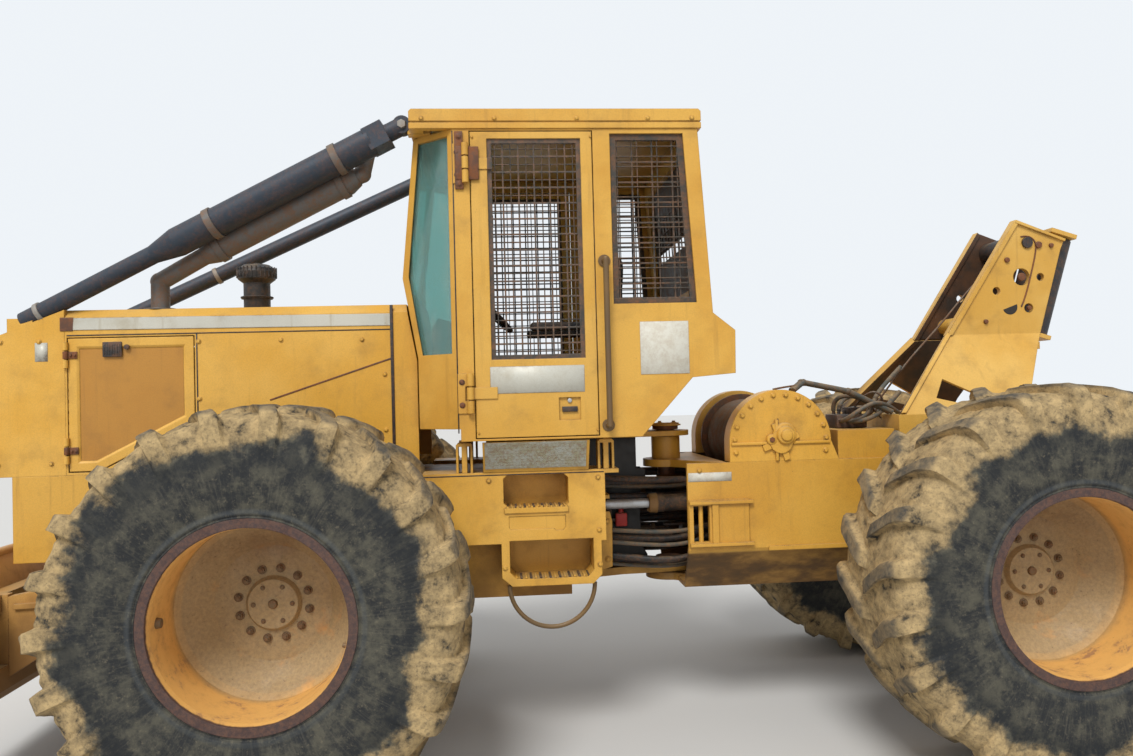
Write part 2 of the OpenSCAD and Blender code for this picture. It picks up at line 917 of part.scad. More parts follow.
// Lays a shape about the z axis on a wheel's place, its outer side out
module wheel_place(x, side) {
    rig()
        translate([x, side * track / 2, axle_z])
            rotate([-90 * side, 0, 0])
                children();
}

module tyre_front_left() {
    color("black")
        wheel_place(front_x, 1)
            tyre_shape(1);
}

module tyre_front_right() {
    color("black")
        wheel_place(front_x, -1)
            tyre_shape(-1);
}

module tyre_rear_left() {
    color("black")
        wheel_place(rear_x, 1)
            tyre_shape(1);
}

module tyre_rear_right() {
    color("black")
        wheel_place(rear_x, -1)
            tyre_shape(-1);
}

module rim_front_left() {
    color("goldenrod")
        wheel_place(front_x, 1)
            rim_shape();
}

module rim_front_right() {
    color("goldenrod")
        wheel_place(front_x, -1)
            rim_shape();
}

module rim_rear_left() {
    color("goldenrod")
        wheel_place(rear_x, 1)
            rim_shape();
}

module rim_rear_right() {
    color("goldenrod")
        wheel_place(rear_x, -1)
            rim_shape();
}

module blade() {
    centre_bx = blade_back + blade_r;
    half = blade_w / 2;
    color("goldenrod")
    rig()
    difference() {
        union() {
            intersection() {
                rod_y(centre_bx, -half, half, blade_mid_z, blade_r + 20);
                box([blade_back - 30, -half, blade_low], [3330, half, blade_high]);
            }
            // Box beams, ribs and the tube along the top
            box([beam_x, -half + 150, 450], [3245, half - 150, 560]);
            box([beam_x + 30, -half + 150, 800], [3245, half - 150, 890]);
            for (y = [-1000, -arm_out, arm_in, 950])
                box([beam_x, y, 450], [3245, y + 50, 890]);
            rod_y(3292, -half, half, blade_high - 5, 24);
            both_sides() {
                for (y = [lift_y - eye_half - eye_gap - lug_t, lift_y + eye_half + eye_gap])
                    slab(concat([[3245, 800], [3180, 800]],
                        arc(lift_low, 48, 60, 280, 10), [[3150, 560], [3245, 560]]),
                        y, y + lug_t);
                box([beam_x + 90, half - 40, blade_low + 20], [3300, half, blade_high - 10]);
            }
            // Cutting edge
            slab([[3258, 436], [3361, 266], [3380, 277], [3277, 447]], -half, half);
        }
        rod_y(centre_bx, -half - 1, half + 1, blade_mid_z, blade_r);
        // Bolt holes of the cutting edge
        for (i = [0:7])
            translate([3340, -1050 + 300 * i, 340])
                rotate([0, 58.8, 0])
                    cylinder(h = 200, r = 11, center = true);
    }
}

module blade_arms() {
    color("goldenrod")
    rig()
    both_sides()
        difference() {
            union() {
                slab([
                    [blade_pivot[0], 665], [2500, 660], [2860, 640], [beam_x, 500], [beam_x, 880],
                    [2860, 920], [2600, 930], [blade_pivot[0], 835]
                ], arm_in, arm_out);
                rod_y(blade_pivot[0], arm_in, arm_out, blade_pivot[1], 90);
                slab([[2560, 835], [3060, 820], [3060, 845], [2560, 860]], arm_out, arm_out + 14);
            }
            rod_y(blade_pivot[0], arm_in - 1, arm_out + 1, blade_pivot[1], blade_pin_r + fit);
        }
}

// A cylinder's barrel along x from its eye, the eye's axis along y
module barrel(length, r) {
    difference() {
        union() {
            rod_x(100, length, 0, 0, r);
            rod_x(length - 45, length, 0, 0, r + 5);
            rod_y(0, -eye_half, eye_half, 0, eye_r);
            box([0, -26, -eye_half], [102, 26, eye_half]);
        }
        rod_x(118, length + 1, 0, 0, r - 11);
        rod_y(0, -eye_half - 1, eye_half + 1, 0, eye_pin_r + fit);
    }
}

// A cylinder's rod, from inside the barrel to its eye
module ram(start, length, r, bore_r) {
    rod_x(start, length, 0, 0, r);
    rod_x(start, start + 40, 0, 0, bore_r - 0.5);
    rod_y(length, -eye_half, eye_half, 0, eye_r);
}

module blade_line(side) {
    rig()
        towards([lift_top[0], side * lift_y, lift_top[1]], [lift_low[0], side * lift_y, lift_low[1]])
            children();
}

lift_length = norm(lift_low - lift_top);

module blade_barrel_left() {
    color("dimgray")
        blade_line(1)
            barrel(540, 60);
}

module blade_barrel_right() {
    color("dimgray")
        blade_line(-1)
            barrel(540, 60);
}

module blade_rod_left() {
    color("silver")
        blade_line(1)
            ram(206, lift_length, 28, 49);
}

module blade_rod_right() {
    color("silver")
        blade_line(-1)
            ram(206, lift_length, 28, 49);
}

module steer_line(side) {
    rig()
        translate([pivot_x - steer_reach, side * steer_y, steer_z])
            rotate([90, 0, 0])
                children();
}

module steer_barrel_left() {
    color("dimgray")
        steer_line(1)
            barrel(525, 45);
}

module steer_barrel_right() {
    color("dimgray")
        steer_line(-1)
            barrel(525, 45);
}

module steer_rod_left() {
    color("silver")
        steer_line(1)
            ram(290, 2 * steer_reach, 26, 34);
}

module steer_rod_right() {
    color("silver")
        steer_line(-1)
            ram(290, 2 * steer_reach, 26, 34);
}

// The rear frame's outline from the front, drawn inward by t
function rear_outline(t) = [
    [-rear_half + t, deck_z], [-rear_half + t, 955 + 0.3 * t], [-320 + 0.25 * t, belly_z + t],
    [320 - 0.25 * t, belly_z + t], [rear_half - t, 955 + 0.3 * t], [rear_half - t, deck_z]
];

// Feet of the arch's legs on the deck: back and front ends along x
leg_x = [-2150, -1370];

module rear_frame() {
    front = pivot_x - 22;
    back = -2400;
    color("goldenrod")
    rig() {
        difference() {
            union() {
                difference() {
                    section(rear_outline(0), back, front);
                    section(rear_outline(plate), back - 1, front + 1);
                    // Above the sides
                    box([back - 1, -rear_half + plate, 1300], [front + 1, rear_half - plate, deck_z + 1]);
                }
                // Floor and deck noses round the steering pivot
                nose([belly_z, belly_z + rear_plate], 310);
                nose([deck_z - rear_plate, deck_z], rear_half - plate);
                rod_z(pivot_x, 0, deck_z, boss_top, 80);
                // Deck behind the winch, cross walls, and the end plate that logs butt against
                box([back, -rear_half + 6, deck_z - 20], [-1020, rear_half - 6, deck_z]);
                for (x = [-1040, -2000])
                    section(rear_outline(plate - 6), x, x + 20);
                section([[-rear_half, deck_z + 100], [-rear_half, 900], [-340, 560],
                    [340, 560], [rear_half, 900], [rear_half, deck_z + 100]], back - 40, back);
                // Outer flange line along the sides
                both_sides() {
                    box([back - 20, rear_half - 6, 940], [-640, rear_half + 8, 962]);
                    // Lugs and pins of the steering cylinders' barrels
                    for (z = [steer_z - eye_half - 5 - lug_t, steer_z + eye_half + 5]) {
                        rod_z(pivot_x - steer_reach, steer_y, z, z + lug_t, 50);
                        box([pivot_x - steer_reach - 50, steer_y, z],
                            [pivot_x - steer_reach + 50, rear_half - plate, z + lug_t]);
                    }
                    rod_z(pivot_x - steer_reach, steer_y, steer_z - eye_half - 5,
                        steer_z + eye_half + 5, eye_pin_r);
                    // Leg brackets on the deck's edge
                    for (x = [leg_x[1], leg_x[0] + 120])
                        box([x, foot_half - 50, deck_z], [x + 14, foot_half + 10, deck_z + 90]);
                }
                // Box on the deck beside the winch
                box([-1337, 60, deck_z], [-1030, rear_half - 10, deck_z + 150]);
                // Wear plate between two ribs, round the steering lock's slot
                both_sides() {
                    box([-540, rear_half, 968], [-226, rear_half + 10, 1212]);
                    for (z = [974, 1190])
                        box([-561, rear_half, z], [-226, rear_half + 26, z + 16]);
                    box([-378, rear_half + 10 - 2, 990], [-344, rear_half + 20, 1190]);
                }
            }
            rod_z(pivot_x, 0, belly_z - 1, boss_top + 1, pivot_r);
            both_sides() {
                // Slot of the steering lock
                box([-331, rear_half - plate - 1, 996], [-248, rear_half + 11, 1182]);
            }
            rod_y(rear_x, -rear_half - 9, rear_half + 9, axle_z, 130);
            translate([rear_x, 0, axle_z])
                sphere(r = 230);
            rod_y(winch_x, -rear_half + plate - 2, rear_half - plate + 2, winch_z, winch_r);
        }
        // Steering lock bar in its slot
        both_sides()
            rod_z(-290, rear_half - 13, 990, 1188, 12);
    }
}

// A frame plate from the sides forward to the round nose about the steering pivot
module nose(z, half) {
    rod_z(pivot_x, 0, z[0], z[1], nose_r);
    plan([
        [pivot_x - 237, -half], [pivot_x - 212, -half], [pivot_x, -nose_r],
        [pivot_x, nose_r], [pivot_x - 212, half], [pivot_x - 237, half]
    ], z[0], z[1]);
}

module pivot_pins() {
    color("silver")
    rig() {
        rod_z(pivot_x, 0, deck_z - 90, top_plate[1] + 6, pivot_r);
        rod_z(pivot_x, 0, top_plate[1] + 6, top_plate[1] + 26, 72);
        rod_z(pivot_x, 0, belly_z - 10, low_plate[1] + 6, pivot_r);
        rod_z(pivot_x, 0, low_plate[1] + 6, low_plate[1] + 26, 72);
    }
}

module winch_housing() {
    color("goldenrod")
    rig()
    both_sides()
        difference() {
            union() {
                intersection() {
                    rod_y(winch_x, rear_half - cover_t, rear_half, winch_z, winch_r);
                    box([winch_x - winch_r - 1, 0, deck_z],
                        [winch_x + winch_r + 1, rear_half + 1, winch_z + winch_r + 1]);
                }
                slab([
                    [winch_x - winch_r, winch_z], [winch_x + winch_r, winch_z], [winch_x + winch_r, deck_z],
                    [winch_x - winch_r - 40, deck_z]
                ], rear_half - cover_t, rear_half);
                // Hub cover and its cross
                rod_y(winch_x, rear_half, rear_half + 18, winch_z, 60);
                for (a = [0, 90])
                    translate([winch_x, rear_half, winch_z])
                        rotate([0, a + 20, 0])
                            box([-100, 0, -16], [100, 12, 16]);
            }
            rod_y(winch_x, rear_half - cover_t - 1, rear_half - 40, winch_z, shaft_r + fit);
        }
}

module winch_drum() {
    half = drum_w / 2;
    color("saddlebrown")
    rig() {
        rod_y(winch_x, -rear_half + 45, rear_half - 45, winch_z, shaft_r);
        for (y = [-half, half - 20])
            rod_y(winch_x, y, y + 20, winch_z, drum_r);
        rod_y(winch_x, -half, half, winch_z, core_r);
        // Coils of rope on the drum
        for (i = [0:9])
            rod_y(winch_x, -half + 24 + 51.5 * i, -half + 24 + 51.5 * i + 44, winch_z, rope_r - 6 * (i % 2));
    }
}

// The arch's upper plate, above the crease
arch_upper = [
    [-2181, 2688], [-2474, 2577], [-2448, 2520], [-2312, crease_z], [-1764, crease_z]
];

// Side rollers' axis: lower and upper ends
roller_low = [-2345, 110, 2050];
roller_high = [-2510, 110, 2585];
roller_length = norm(roller_high - roller_low);
roller_pin = 20;

// Top roller's axis and shaft
top_x = -2250;
top_z = 2560;
top_shaft = 30;

module arch() {
    tilt = atan2(foot_half - arch_w / 2, crease_z - foot_z);
    run = (crease_z - foot_z) / cos(tilt);
    color("goldenrod")
    rig()
    difference() {
        union() {
            both_sides() {
                slab(arch_upper, arch_w / 2 - arch_t, arch_w / 2);
                // Lower plates lean out from the crease to the feet
                translate([0, arch_w / 2, crease_z])
                    rotate([tilt, 0, 0])
                        slab([[-2312, 4], [-1764, 4], [-1376, -run], [-2100, -run], [-2125, -394]],
                            -arch_t, 0);
                // Flange along the front edge
                slab([[-2181, 2688], [-1764, crease_z - 3], [-1792, crease_z - 3], [-2199, 2670]],
                    arch_w / 2 - arch_t - 12, arch_w / 2 + 12);
                translate([0, arch_w / 2, crease_z])
                    rotate([tilt, 0, 0])
                        slab([[-1764, 8], [-1380, -run + 6], [-1408, -run + 6], [-1792, 8]],
                            -arch_t - 12, 12);
                // Stiffened rim of the upper plate
                slab([[-2185, 2688], [-2474, 2577], [-2468, 2564], [-2180, 2672]],
                    arch_w / 2, arch_w / 2 + 14);
                // Legs down to the deck
                box([leg_x[0], foot_half - 30, deck_z], [leg_x[0] + 120, foot_half, foot_z - 30]);
                box([leg_x[1] - 140, foot_half - 30, deck_z], [leg_x[1], foot_half, foot_z - 30]);
                slab([[leg_x[0] + 120, foot_z - 110], [leg_x[1] - 140, foot_z - 110], [leg_x[1], foot_z - 30],
                    [leg_x[0], foot_z - 30]], foot_half - 30, foot_half);
            }
            // Base plate, cross wall at its front and the cross tubes between the plates
            box([leg_x[0], -foot_half, foot_z - 30], [leg_x[1], foot_half, foot_z]);
            box([leg_x[1] - 30, -foot_half, deck_z + 20], [leg_x[1], foot_half, foot_z - 30]);
            rod_y(-1960, -arch_w / 2 + 5, arch_w / 2 - 5, 2120, 45);
            box([-2290, -arch_w / 2 + arch_t, 1960], [-2180, arch_w / 2 - arch_t, 2000]);
            both_sides()
                box([-2290, arch_w / 2 - arch_t, 1960], [-2180, 235, 2000]);
            // Brackets above and below each side roller, and its pin
            both_sides()
                towards(roller_low, roller_high) {
                    for (x = [-30, roller_length + 6])
                        box([x, -arch_w / 2 + 120, -42], [x + 24, 42, 112]);
                    rod_x(-30, roller_length + 30, 0, 0, roller_pin);
                }
        }
        // Slots in the lower plates
        both_sides() {
            slab([[-1664, 1804], [-1906, 1679], [-1818, 1649], [-1601, 1703]], 240, 480);
            rod_y(-2212, 100, 240, 2368, 48);
            rod_y(-2063, 100, 240, 2291, 22);
            rod_y(-2324, 100, 240, 2366, 22);
            rod_y(-2249, 100, 240, 2192, 26);
        }
        // Top roller's bores
        rod_y(top_x, -arch_w, arch_w, top_z, top_shaft + fit);
    }
}

module side_roller() {
    towards(roller_low, roller_high)
        difference() {
            rod_x(0, roller_length, 0, 0, roller_r);
            rod_x(-1, roller_length + 1, 0, 0, roller_pin + fit);
        }
}

module side_roller_left() {
    color("dimgray")
    rig()
        side_roller();
}

module side_roller_right() {
    color("dimgray")
    rig()
    mirror([0, 1, 0])
        side_roller();
}

module top_roller() {
    color("saddlebrown")
    rig() {
        rod_y(top_x, -arch_w / 2 + arch_t + 6, arch_w / 2 - arch_t - 6, top_z, roller_r);
        rod_y(top_x, -arch_w / 2 - 12, arch_w / 2 + 12, top_z, top_shaft);
    }
}

// A hose of straight lengths with swaged joints, turned so that no seam lies along a length
module hose(points, r) {
    for (i = [1:len(points) - 1])
        bar(points[i - 1], points[i], r, r);
    for (i = [1:len(points) - 2])
        translate(points[i])
            rotate([20, 30, 37])
                sphere(r = r + 4);
}

module hoses() {
    color("black")
    rig()
        for (y = [300, 340])
            hose([
                [winch_x - 100, y + 40, 1764], [-890, y, 1806], [-1134, y, 1753], [-1375, y, foot_z + 14]
            ], 14);
}

function door_window(t) = [
    [765 - t, 1950 + t], [765 - t, 3022 - t], [310 + t, 3022 - t], [310 + t, 1950 + t]
];

module door() {
    color("goldenrod") {
        difference() {
            slab(door_outline(door_gap), cab_half - door_t, cab_half);
            slab(door_window(0), cab_half - door_t - 1, cab_half + 1);
            // Hollow of the latch
            box([340, cab_half - 12, 1650], [445, cab_half + 1, 1760]);
        }
        mesh(door_window(0), door_window(22), cab_half - 26, cab_half - 8, 76);
        for (z = [1790, 2900]) {
            rod_z(hinge_x, cab_half + hinge_off, z - 29, z + 29, 16);
            rod_z(hinge_x, cab_half + hinge_off, z - 92, z + 92, 8);
            box([hinge_x - 130, cab_half, z - 28], [hinge_x, cab_half + 6, z + 28]);
        }
        box([375, cab_half - 12, 1695], [425, cab_half - 2, 1715]);
    }
}

module door_left() {
    rig()
        door();
}

module door_right() {
    rig()
    mirror([0, 1, 0])
        door();
}

front_frame();
engine();
transmission();
radiator_guard();
hood();
cab_shell();
cab_roof();
cab_glass();
window_guards();
cab_mounts();
seat();
console();
risers();
muffler();
precleaner();
side_boxes();
handholds();
front_axle();
tyre_front_left();
rim_front_left();
tyre_front_right();
rim_front_right();
tyre_rear_left();
rim_rear_left();
tyre_rear_right();
rim_rear_right();
blade();
blade_arms();
blade_barrel_left();
blade_rod_left();
blade_barrel_right();
blade_rod_right();
rear_frame();
pivot_pins();
rear_axle();
winch_housing();
winch_drum();
arch();
side_roller_left();
side_roller_right();
top_roller();
hoses();
steer_barrel_left();
steer_rod_left();
steer_barrel_right();
steer_rod_right();
door_left();
door_right();
engine_door_left();
engine_door_right();
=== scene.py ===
import math
import bpy
import bmesh
from mathutils import Matrix, Vector, noise
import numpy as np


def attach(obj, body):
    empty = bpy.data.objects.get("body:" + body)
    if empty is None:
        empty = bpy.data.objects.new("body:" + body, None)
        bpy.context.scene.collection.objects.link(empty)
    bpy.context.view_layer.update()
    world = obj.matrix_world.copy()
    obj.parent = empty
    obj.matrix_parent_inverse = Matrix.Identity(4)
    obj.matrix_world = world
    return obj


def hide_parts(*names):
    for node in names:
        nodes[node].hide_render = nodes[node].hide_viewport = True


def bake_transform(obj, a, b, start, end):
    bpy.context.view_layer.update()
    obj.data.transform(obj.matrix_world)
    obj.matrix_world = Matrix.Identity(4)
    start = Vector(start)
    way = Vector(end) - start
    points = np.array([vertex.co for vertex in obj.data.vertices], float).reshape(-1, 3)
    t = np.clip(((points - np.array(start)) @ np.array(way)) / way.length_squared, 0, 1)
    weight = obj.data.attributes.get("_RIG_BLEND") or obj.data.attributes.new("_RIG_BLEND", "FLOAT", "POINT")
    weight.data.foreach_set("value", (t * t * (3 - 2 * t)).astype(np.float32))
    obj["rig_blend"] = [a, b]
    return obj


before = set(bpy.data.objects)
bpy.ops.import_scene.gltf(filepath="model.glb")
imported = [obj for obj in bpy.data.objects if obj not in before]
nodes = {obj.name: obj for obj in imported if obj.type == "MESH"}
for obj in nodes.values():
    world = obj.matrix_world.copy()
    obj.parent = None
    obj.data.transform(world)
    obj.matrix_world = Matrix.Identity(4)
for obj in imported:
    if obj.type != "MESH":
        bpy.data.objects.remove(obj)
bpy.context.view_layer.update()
print("frame loaded:", len(nodes), "nodes")

middle = 0.375    # the machine's middle is this far ahead of the middle of the wheelbase
axleHeight = 0.885
trackHalf = 1.04
halfWheelbase = 1.75
wheels = {  # place along the machine, side, turn of the tread
    "front_left": (1.375, 1, 0.05), "front_right": (1.375, -1, 0.9),
    "rear_left": (-2.125, 1, 0.17), "rear_right": (-2.125, -1, 2.3)}


def tone(red, green, blue):
    # a colour as the screen shows it, 0 to 255
    return tuple((c / 3294.6 if c <= 10.31 else ((c / 255 + 0.055) / 1.055) ** 2.4) for c in (red, green, blue)) + (1,)


def show(name, data):
    thing = bpy.data.objects.new(name, data)
    bpy.context.scene.collection.objects.link(thing)
    return thing


# Camera, lamps and floor
viewpoint = {"place": (0.3694, 4.93, 1.7739), "lens": 27.96, "yaw": 0.0794, "pitch": 0.0187, "roll": -0.0262}
cameraData = bpy.data.cameras.new("camera")
cameraData.lens = viewpoint["lens"]
cameraData.sensor_width = 36
cameraData.clip_end = 200
camera = show("camera", cameraData)
camera.matrix_world = Matrix.Translation(viewpoint["place"]) @ (
    Matrix.Rotation(math.pi - viewpoint["yaw"], 4, "Z")
    @ Matrix.Rotation(math.pi / 2 + viewpoint["pitch"], 4, "X")
    @ Matrix.Rotation(viewpoint["roll"], 4, "Z"))
bpy.context.scene.camera = camera
bpy.context.scene.view_settings.view_transform = "Standard"

studio = {"sky": 0.62, "sunPower": 2.3, "sunAngle": 22, "sunFrom": (0.35, 0.95, 1.15), "backdrop": (0.86, 0.9, 0.94, 1),
          "floorSize": 60, "floorTone": (0.62, 0.62, 0.61, 1)}
bench = {"tree": None, "shader": None, "shape": None}    # the node tree and the shader at work


def feed(socket, value):
    if isinstance(value, bpy.types.NodeSocket):
        bench["tree"].links.new(value, socket)
    elif socket.type == "RGBA" and len(value) == 3:
        socket.default_value = tone(*value)
    else:
        socket.default_value = value


def put(kind, *values, settings=None, **sockets):
    # a shader node, its inputs given in order or by name
    node = bench["tree"].nodes.new("ShaderNode" + kind)
    for key, value in (settings or {}).items():
        setattr(node, key, value)
    for socket, value in zip(node.inputs, values):
        feed(socket, value)
    for key, value in sockets.items():
        feed(node.inputs[key.replace("_", " ")], value)
    return node.outputs


def maths(operation, *values, clamp=False):
    # two values, or a longer row of them taken in order
    result = values[0]
    for i, value in enumerate(values[1:], 2):
        settings = {"operation": operation, "use_clamp": clamp and i == len(values)}
        result = put("Math", result, value, settings=settings)[0]
    return result


def times(*values, clamp=False):
    return maths("MULTIPLY", *values, clamp=clamp)


def plus(*values, clamp=False):
    return maths("ADD", *values, clamp=clamp)


def minus(*values):
    return maths("SUBTRACT", *values)


def most(*values, clamp=False):
    return maths("MAXIMUM", *values, clamp=clamp)


def single(operation, value):
    return put("Math", value, settings={"operation": operation})[0]


def blendColours(factor, first, second):
    node = bench["tree"].nodes.new("ShaderNodeMix")
    node.data_type = "RGBA"
    for socket, value in zip((node.inputs[0], node.inputs[6], node.inputs[7]), (factor, first, second)):
        feed(socket, value)
    return node.outputs[2]


def between(value, low, high, start=0.0, end=1.0):
    return put("MapRange", settings={"interpolation_type": "SMOOTHSTEP"}, Value=value, From_Min=low, From_Max=high,
               To_Min=start, To_Max=end)[0]


def grainAt(place, scale, detail=4.0, roughness=0.6, stretch=None):
    if stretch:
        place = put("Mapping", Vector=place, Scale=stretch)[0]
    return put("TexNoise", Vector=place, Scale=scale, Detail=detail, Roughness=roughness)["Fac"]


def objectPlace():
    return put("TexCoord")["Object"]


def along(vector):
    return put("SeparateXYZ", Vector=vector)


def bump(height, strength, distance, **normal):
    return put("Bump", Strength=strength, Distance=distance, Height=height, **normal)[0]


def startGroup(name, **inputs):
    tree = bench["tree"] = bpy.data.node_groups.new(name, "ShaderNodeTree")
    for label, value in inputs.items():
        kind = "NodeSocketColor" if isinstance(value, tuple) else "NodeSocketFloat"
        socket = tree.interface.new_socket(name=label.replace("_", " "), in_out="INPUT", socket_type=kind)
        socket.default_value = tone(*value) if isinstance(value, tuple) else value
    return tree.nodes.new("NodeGroupInput").outputs


def finishGroup(**results):
    tree = bench["tree"]
    kinds = {"VALUE": "NodeSocketFloat", "RGBA": "NodeSocketColor", "VECTOR": "NodeSocketVector"}
    for label, socket in results.items():
        tree.interface.new_socket(name=label, in_out="OUTPUT", socket_type=kinds[socket.type])
    ends = tree.nodes.new("NodeGroupOutput").inputs
    for label, socket in results.items():
        tree.links.new(socket, ends[label])
    return tree


def placeGroup(group, **sockets):
    return put("Group", settings={"node_tree": group}, **sockets)


def newMaterial(name, metallic=0.0, **shaderValues):
    material = bpy.data.materials.new(name)
    material.use_nodes = True
    bench["tree"] = material.node_tree
    material.node_tree.nodes.clear()
    shader = bench["shader"] = material.node_tree.nodes.new("ShaderNodeBsdfPrincipled")
    shader.inputs["Metallic"].default_value = metallic
    for key, value in shaderValues.items():
        shader.inputs[key.replace("_", " ")].default_value = value
    put("OutputMaterial", shader.outputs[0])
    return material


def shade(colour, roughness, normal=None):
    # what the shader at work takes in
    inputs = bench["shader"].inputs
    feed(inputs["Base Color"], colour)
    feed(inputs["Roughness"], roughness)
    if normal:
        feed(inputs["Normal"], normal)


def paintFinish(name, **values):
    newMaterial(name, Coat_Weight=0.0)
    paint = placeGroup(weatheredPaint, **values)
    shade(paint["Color"], paint["Roughness"], paint["Normal"])


def ironFinish(name, metallic=0.35, **values):
    newMaterial(name, metallic)
    iron = placeGroup(oldIron, **values)
    shade(iron["Color"], iron["Roughness"], iron["Normal"])


world = bpy.data.worlds.new("studio")
bpy.context.scene.world = world
world.use_nodes = True
world.node_tree.nodes.clear()
bench["tree"] = world.node_tree
path = put("LightPath")
seen = most(path["Is Camera Ray"], path["Is Glossy Ray"], path["Is Transmission Ray"])
lampLight = put("Background", Color=(1, 1, 1, 1), Strength=studio["sky"])[0]
backdrop = put("Background", Color=studio["backdrop"], Strength=1.0)[0]
put("OutputWorld", put("MixShader", seen, lampLight, backdrop)[0])

sunData = bpy.data.lights.new("sun", "SUN")
sunData.energy = studio["sunPower"]
sunData.angle = math.radians(studio["sunAngle"])
sunData.color = (1, 0.985, 0.96)
sun = show("sun", sunData)
sun.rotation_euler = Vector(studio["sunFrom"]).to_track_quat("Z", "Y").to_euler()

floorShape = bmesh.new()
bmesh.ops.create_grid(floorShape, x_segments=1, y_segments=1, size=studio["floorSize"])
floorMesh = bpy.data.meshes.new("floor")
floorShape.to_mesh(floorMesh)
floorShape.free()
floorMesh.materials.append(newMaterial("paleFloor", Roughness=0.9, Base_Color=studio["floorTone"]))
show("floor", floorMesh)
print("camera, lamps and floor made")

# Rounded edge normal and a mask of the edges that wear first
given = startGroup("edgeWear", Size=0.006)
rounded = put("Bevel", settings={"samples": 4}, Radius=given["Size"])[0]
turned = put("VectorMath", rounded, put("NewGeometry")["Normal"], settings={"operation": "DOT_PRODUCT"})
edgeWear = finishGroup(Edge=between(turned["Value"], 0.985, 0.86), Normal=rounded)

# Old sprayed paint: sun-faded, grimy, with painted shade in crevices and low down mixed with mud, streaked, chipped to
# rust along its edges
given = startGroup(
    "weatheredPaint", Paint=(218, 163, 56), Faded=(228, 178, 80), Grime_Colour=(116, 82, 44), Rust=(98, 56, 34),
    Grime=0.5, Streaks=0.5, Wear=0.5, Mud_Height=0.9, Size=0.006, Inside=0.0)
place = objectPlace()
facing = along(put("NewGeometry")["Normal"])
spot = along(place)
# The inner sides of walls face the machine's middle plane; their darker rusty tone is partly rust and partly painted
# shade between the walls
inward = times(between(times(spot["Y"], facing["Y"]), -0.08, -0.12), given["Inside"])
broad = grainAt(place, 1.7)
blotch = grainAt(place, 6, 6, 0.58)
speck = grainAt(place, 46, 6, 0.74)
fine = grainAt(place, 210, 3)
patches = grainAt(place, 2.6)
runs = grainAt(place, 1.0, 6, 0.62, stretch=(24, 24, 1.3))
worn = placeGroup(edgeWear, Size=given["Size"])
# Painted shade: ambient occlusion darkens the hollows toward the grime colour
hollow = put("AmbientOcclusion", settings={"samples": 4}, Distance=0.11)["AO"]
hollowShade = times(between(hollow, 0.85, 0.3), between(blotch, 0.25, 0.6))
colour = blendColours(between(broad, 0.36, 0.66), given["Paint"], given["Faded"])
colour = blendColours(times(between(fine, 0.42, 0.62), 0.13), colour, given["Grime Colour"])
sideways = between(single("ABSOLUTE", facing["Z"]), 0.7, 0.3)
streak = times(between(runs, 0.54, 0.72), sideways, given["Streaks"])
# Darker towards the bottom: mud, and painted shade under the frame
lowMudAndShade = between(plus(spot["Z"], times(blotch, 0.5)), plus(given["Mud Height"], 0.38), plus(given["Mud Height"], 0.05))
grimeAndShade = most(times(between(blotch, 0.48, 0.78), given["Grime"]), times(hollowShade, plus(given["Grime"], 0.3)),
             times(lowMudAndShade, 0.75), times(streak, 0.6), clamp=True)
colour = blendColours(grimeAndShade, colour, given["Grime Colour"])
dust = times(between(facing["Z"], 0.55, 0.95), between(blotch, 0.3, 0.65))
colour = blendColours(times(dust, 0.45), colour, (186, 164, 122))
chips = times(between(speck, 0.665, 0.69), given["Wear"], between(patches, 0.5, 0.6))
edgeChips = times(times(worn["Edge"], between(speck, 0.42, 0.56)), times(given["Wear"], between(blotch, 0.4, 0.56)))
chips = most(chips, edgeChips, clamp=True)
colour = blendColours(chips, colour, blendColours(between(speck, 0.4, 0.7), given["Rust"], (58, 40, 32)))
# Painted shade on the inner walls, mixed with a rusty tone
innerRustAndShade = blendColours(between(blotch, 0.35, 0.65), (84, 56, 36), (48, 38, 30))
colour = blendColours(inward, colour, innerRustAndShade)
rough = plus(0.44, times(grimeAndShade, 0.36), times(chips, 0.3), clamp=True)
relief = plus(minus(times(blotch, 0.5), times(chips, 0.7)), times(fine, 0.12))
weatheredPaint = finishGroup(Color=colour, Roughness=rough, Normal=bump(relief, 0.45, 0.0035, Normal=worn["Normal"]))

# Where a point lies on its own wheel
startGroup("wheelPlace")
spot = along(objectPlace())
ahead = minus(single("ABSOLUTE", plus(spot["X"], middle)), halfWheelbase)
drop = minus(spot["Z"], axleHeight)
radius = single("SQRT", plus(times(ahead, ahead), times(drop, drop)))
angle = maths("ARCTAN2", drop, ahead)
turnedPlace = put("CombineXYZ", times(single("COSINE", angle), 9.0), times(single("SINE", angle), 9.0),
                  plus(radius, times(spot["X"], 0.7)))[0]
wheelPlace = finishGroup(Radius=radius, Side=single("ABSOLUTE", spot["Y"]), Drop=drop, Turned=turnedPlace)

# Rough iron: scale, pits and rust
given = startGroup("oldIron", Metal=(62, 60, 60), Rust=(104, 62, 40), Dust=(140, 120, 90), Rustiness=0.5,
                   Dustiness=0.4, Size=0.005)
place = objectPlace()
upness = along(put("NewGeometry")["Normal"])["Z"]
blotch = grainAt(place, 16, 8, 0.7)
speck = grainAt(place, 75, 6, 0.72)
worn = placeGroup(edgeWear, Size=given["Size"])
rusty = times(between(plus(blotch, times(speck, 0.35)), 0.55, 0.8), given["Rustiness"])
rustTone = blendColours(between(speck, 0.35, 0.7), given["Rust"], (140, 84, 48))
colour = blendColours(rusty, given["Metal"], rustTone)
dusty = times(plus(between(upness, 0.2, 0.9), 0.3), times(between(blotch, 0.35, 0.65), given["Dustiness"]), clamp=True)
colour = blendColours(dusty, colour, given["Dust"])
shine = times(worn["Edge"], between(speck, 0.4, 0.6))
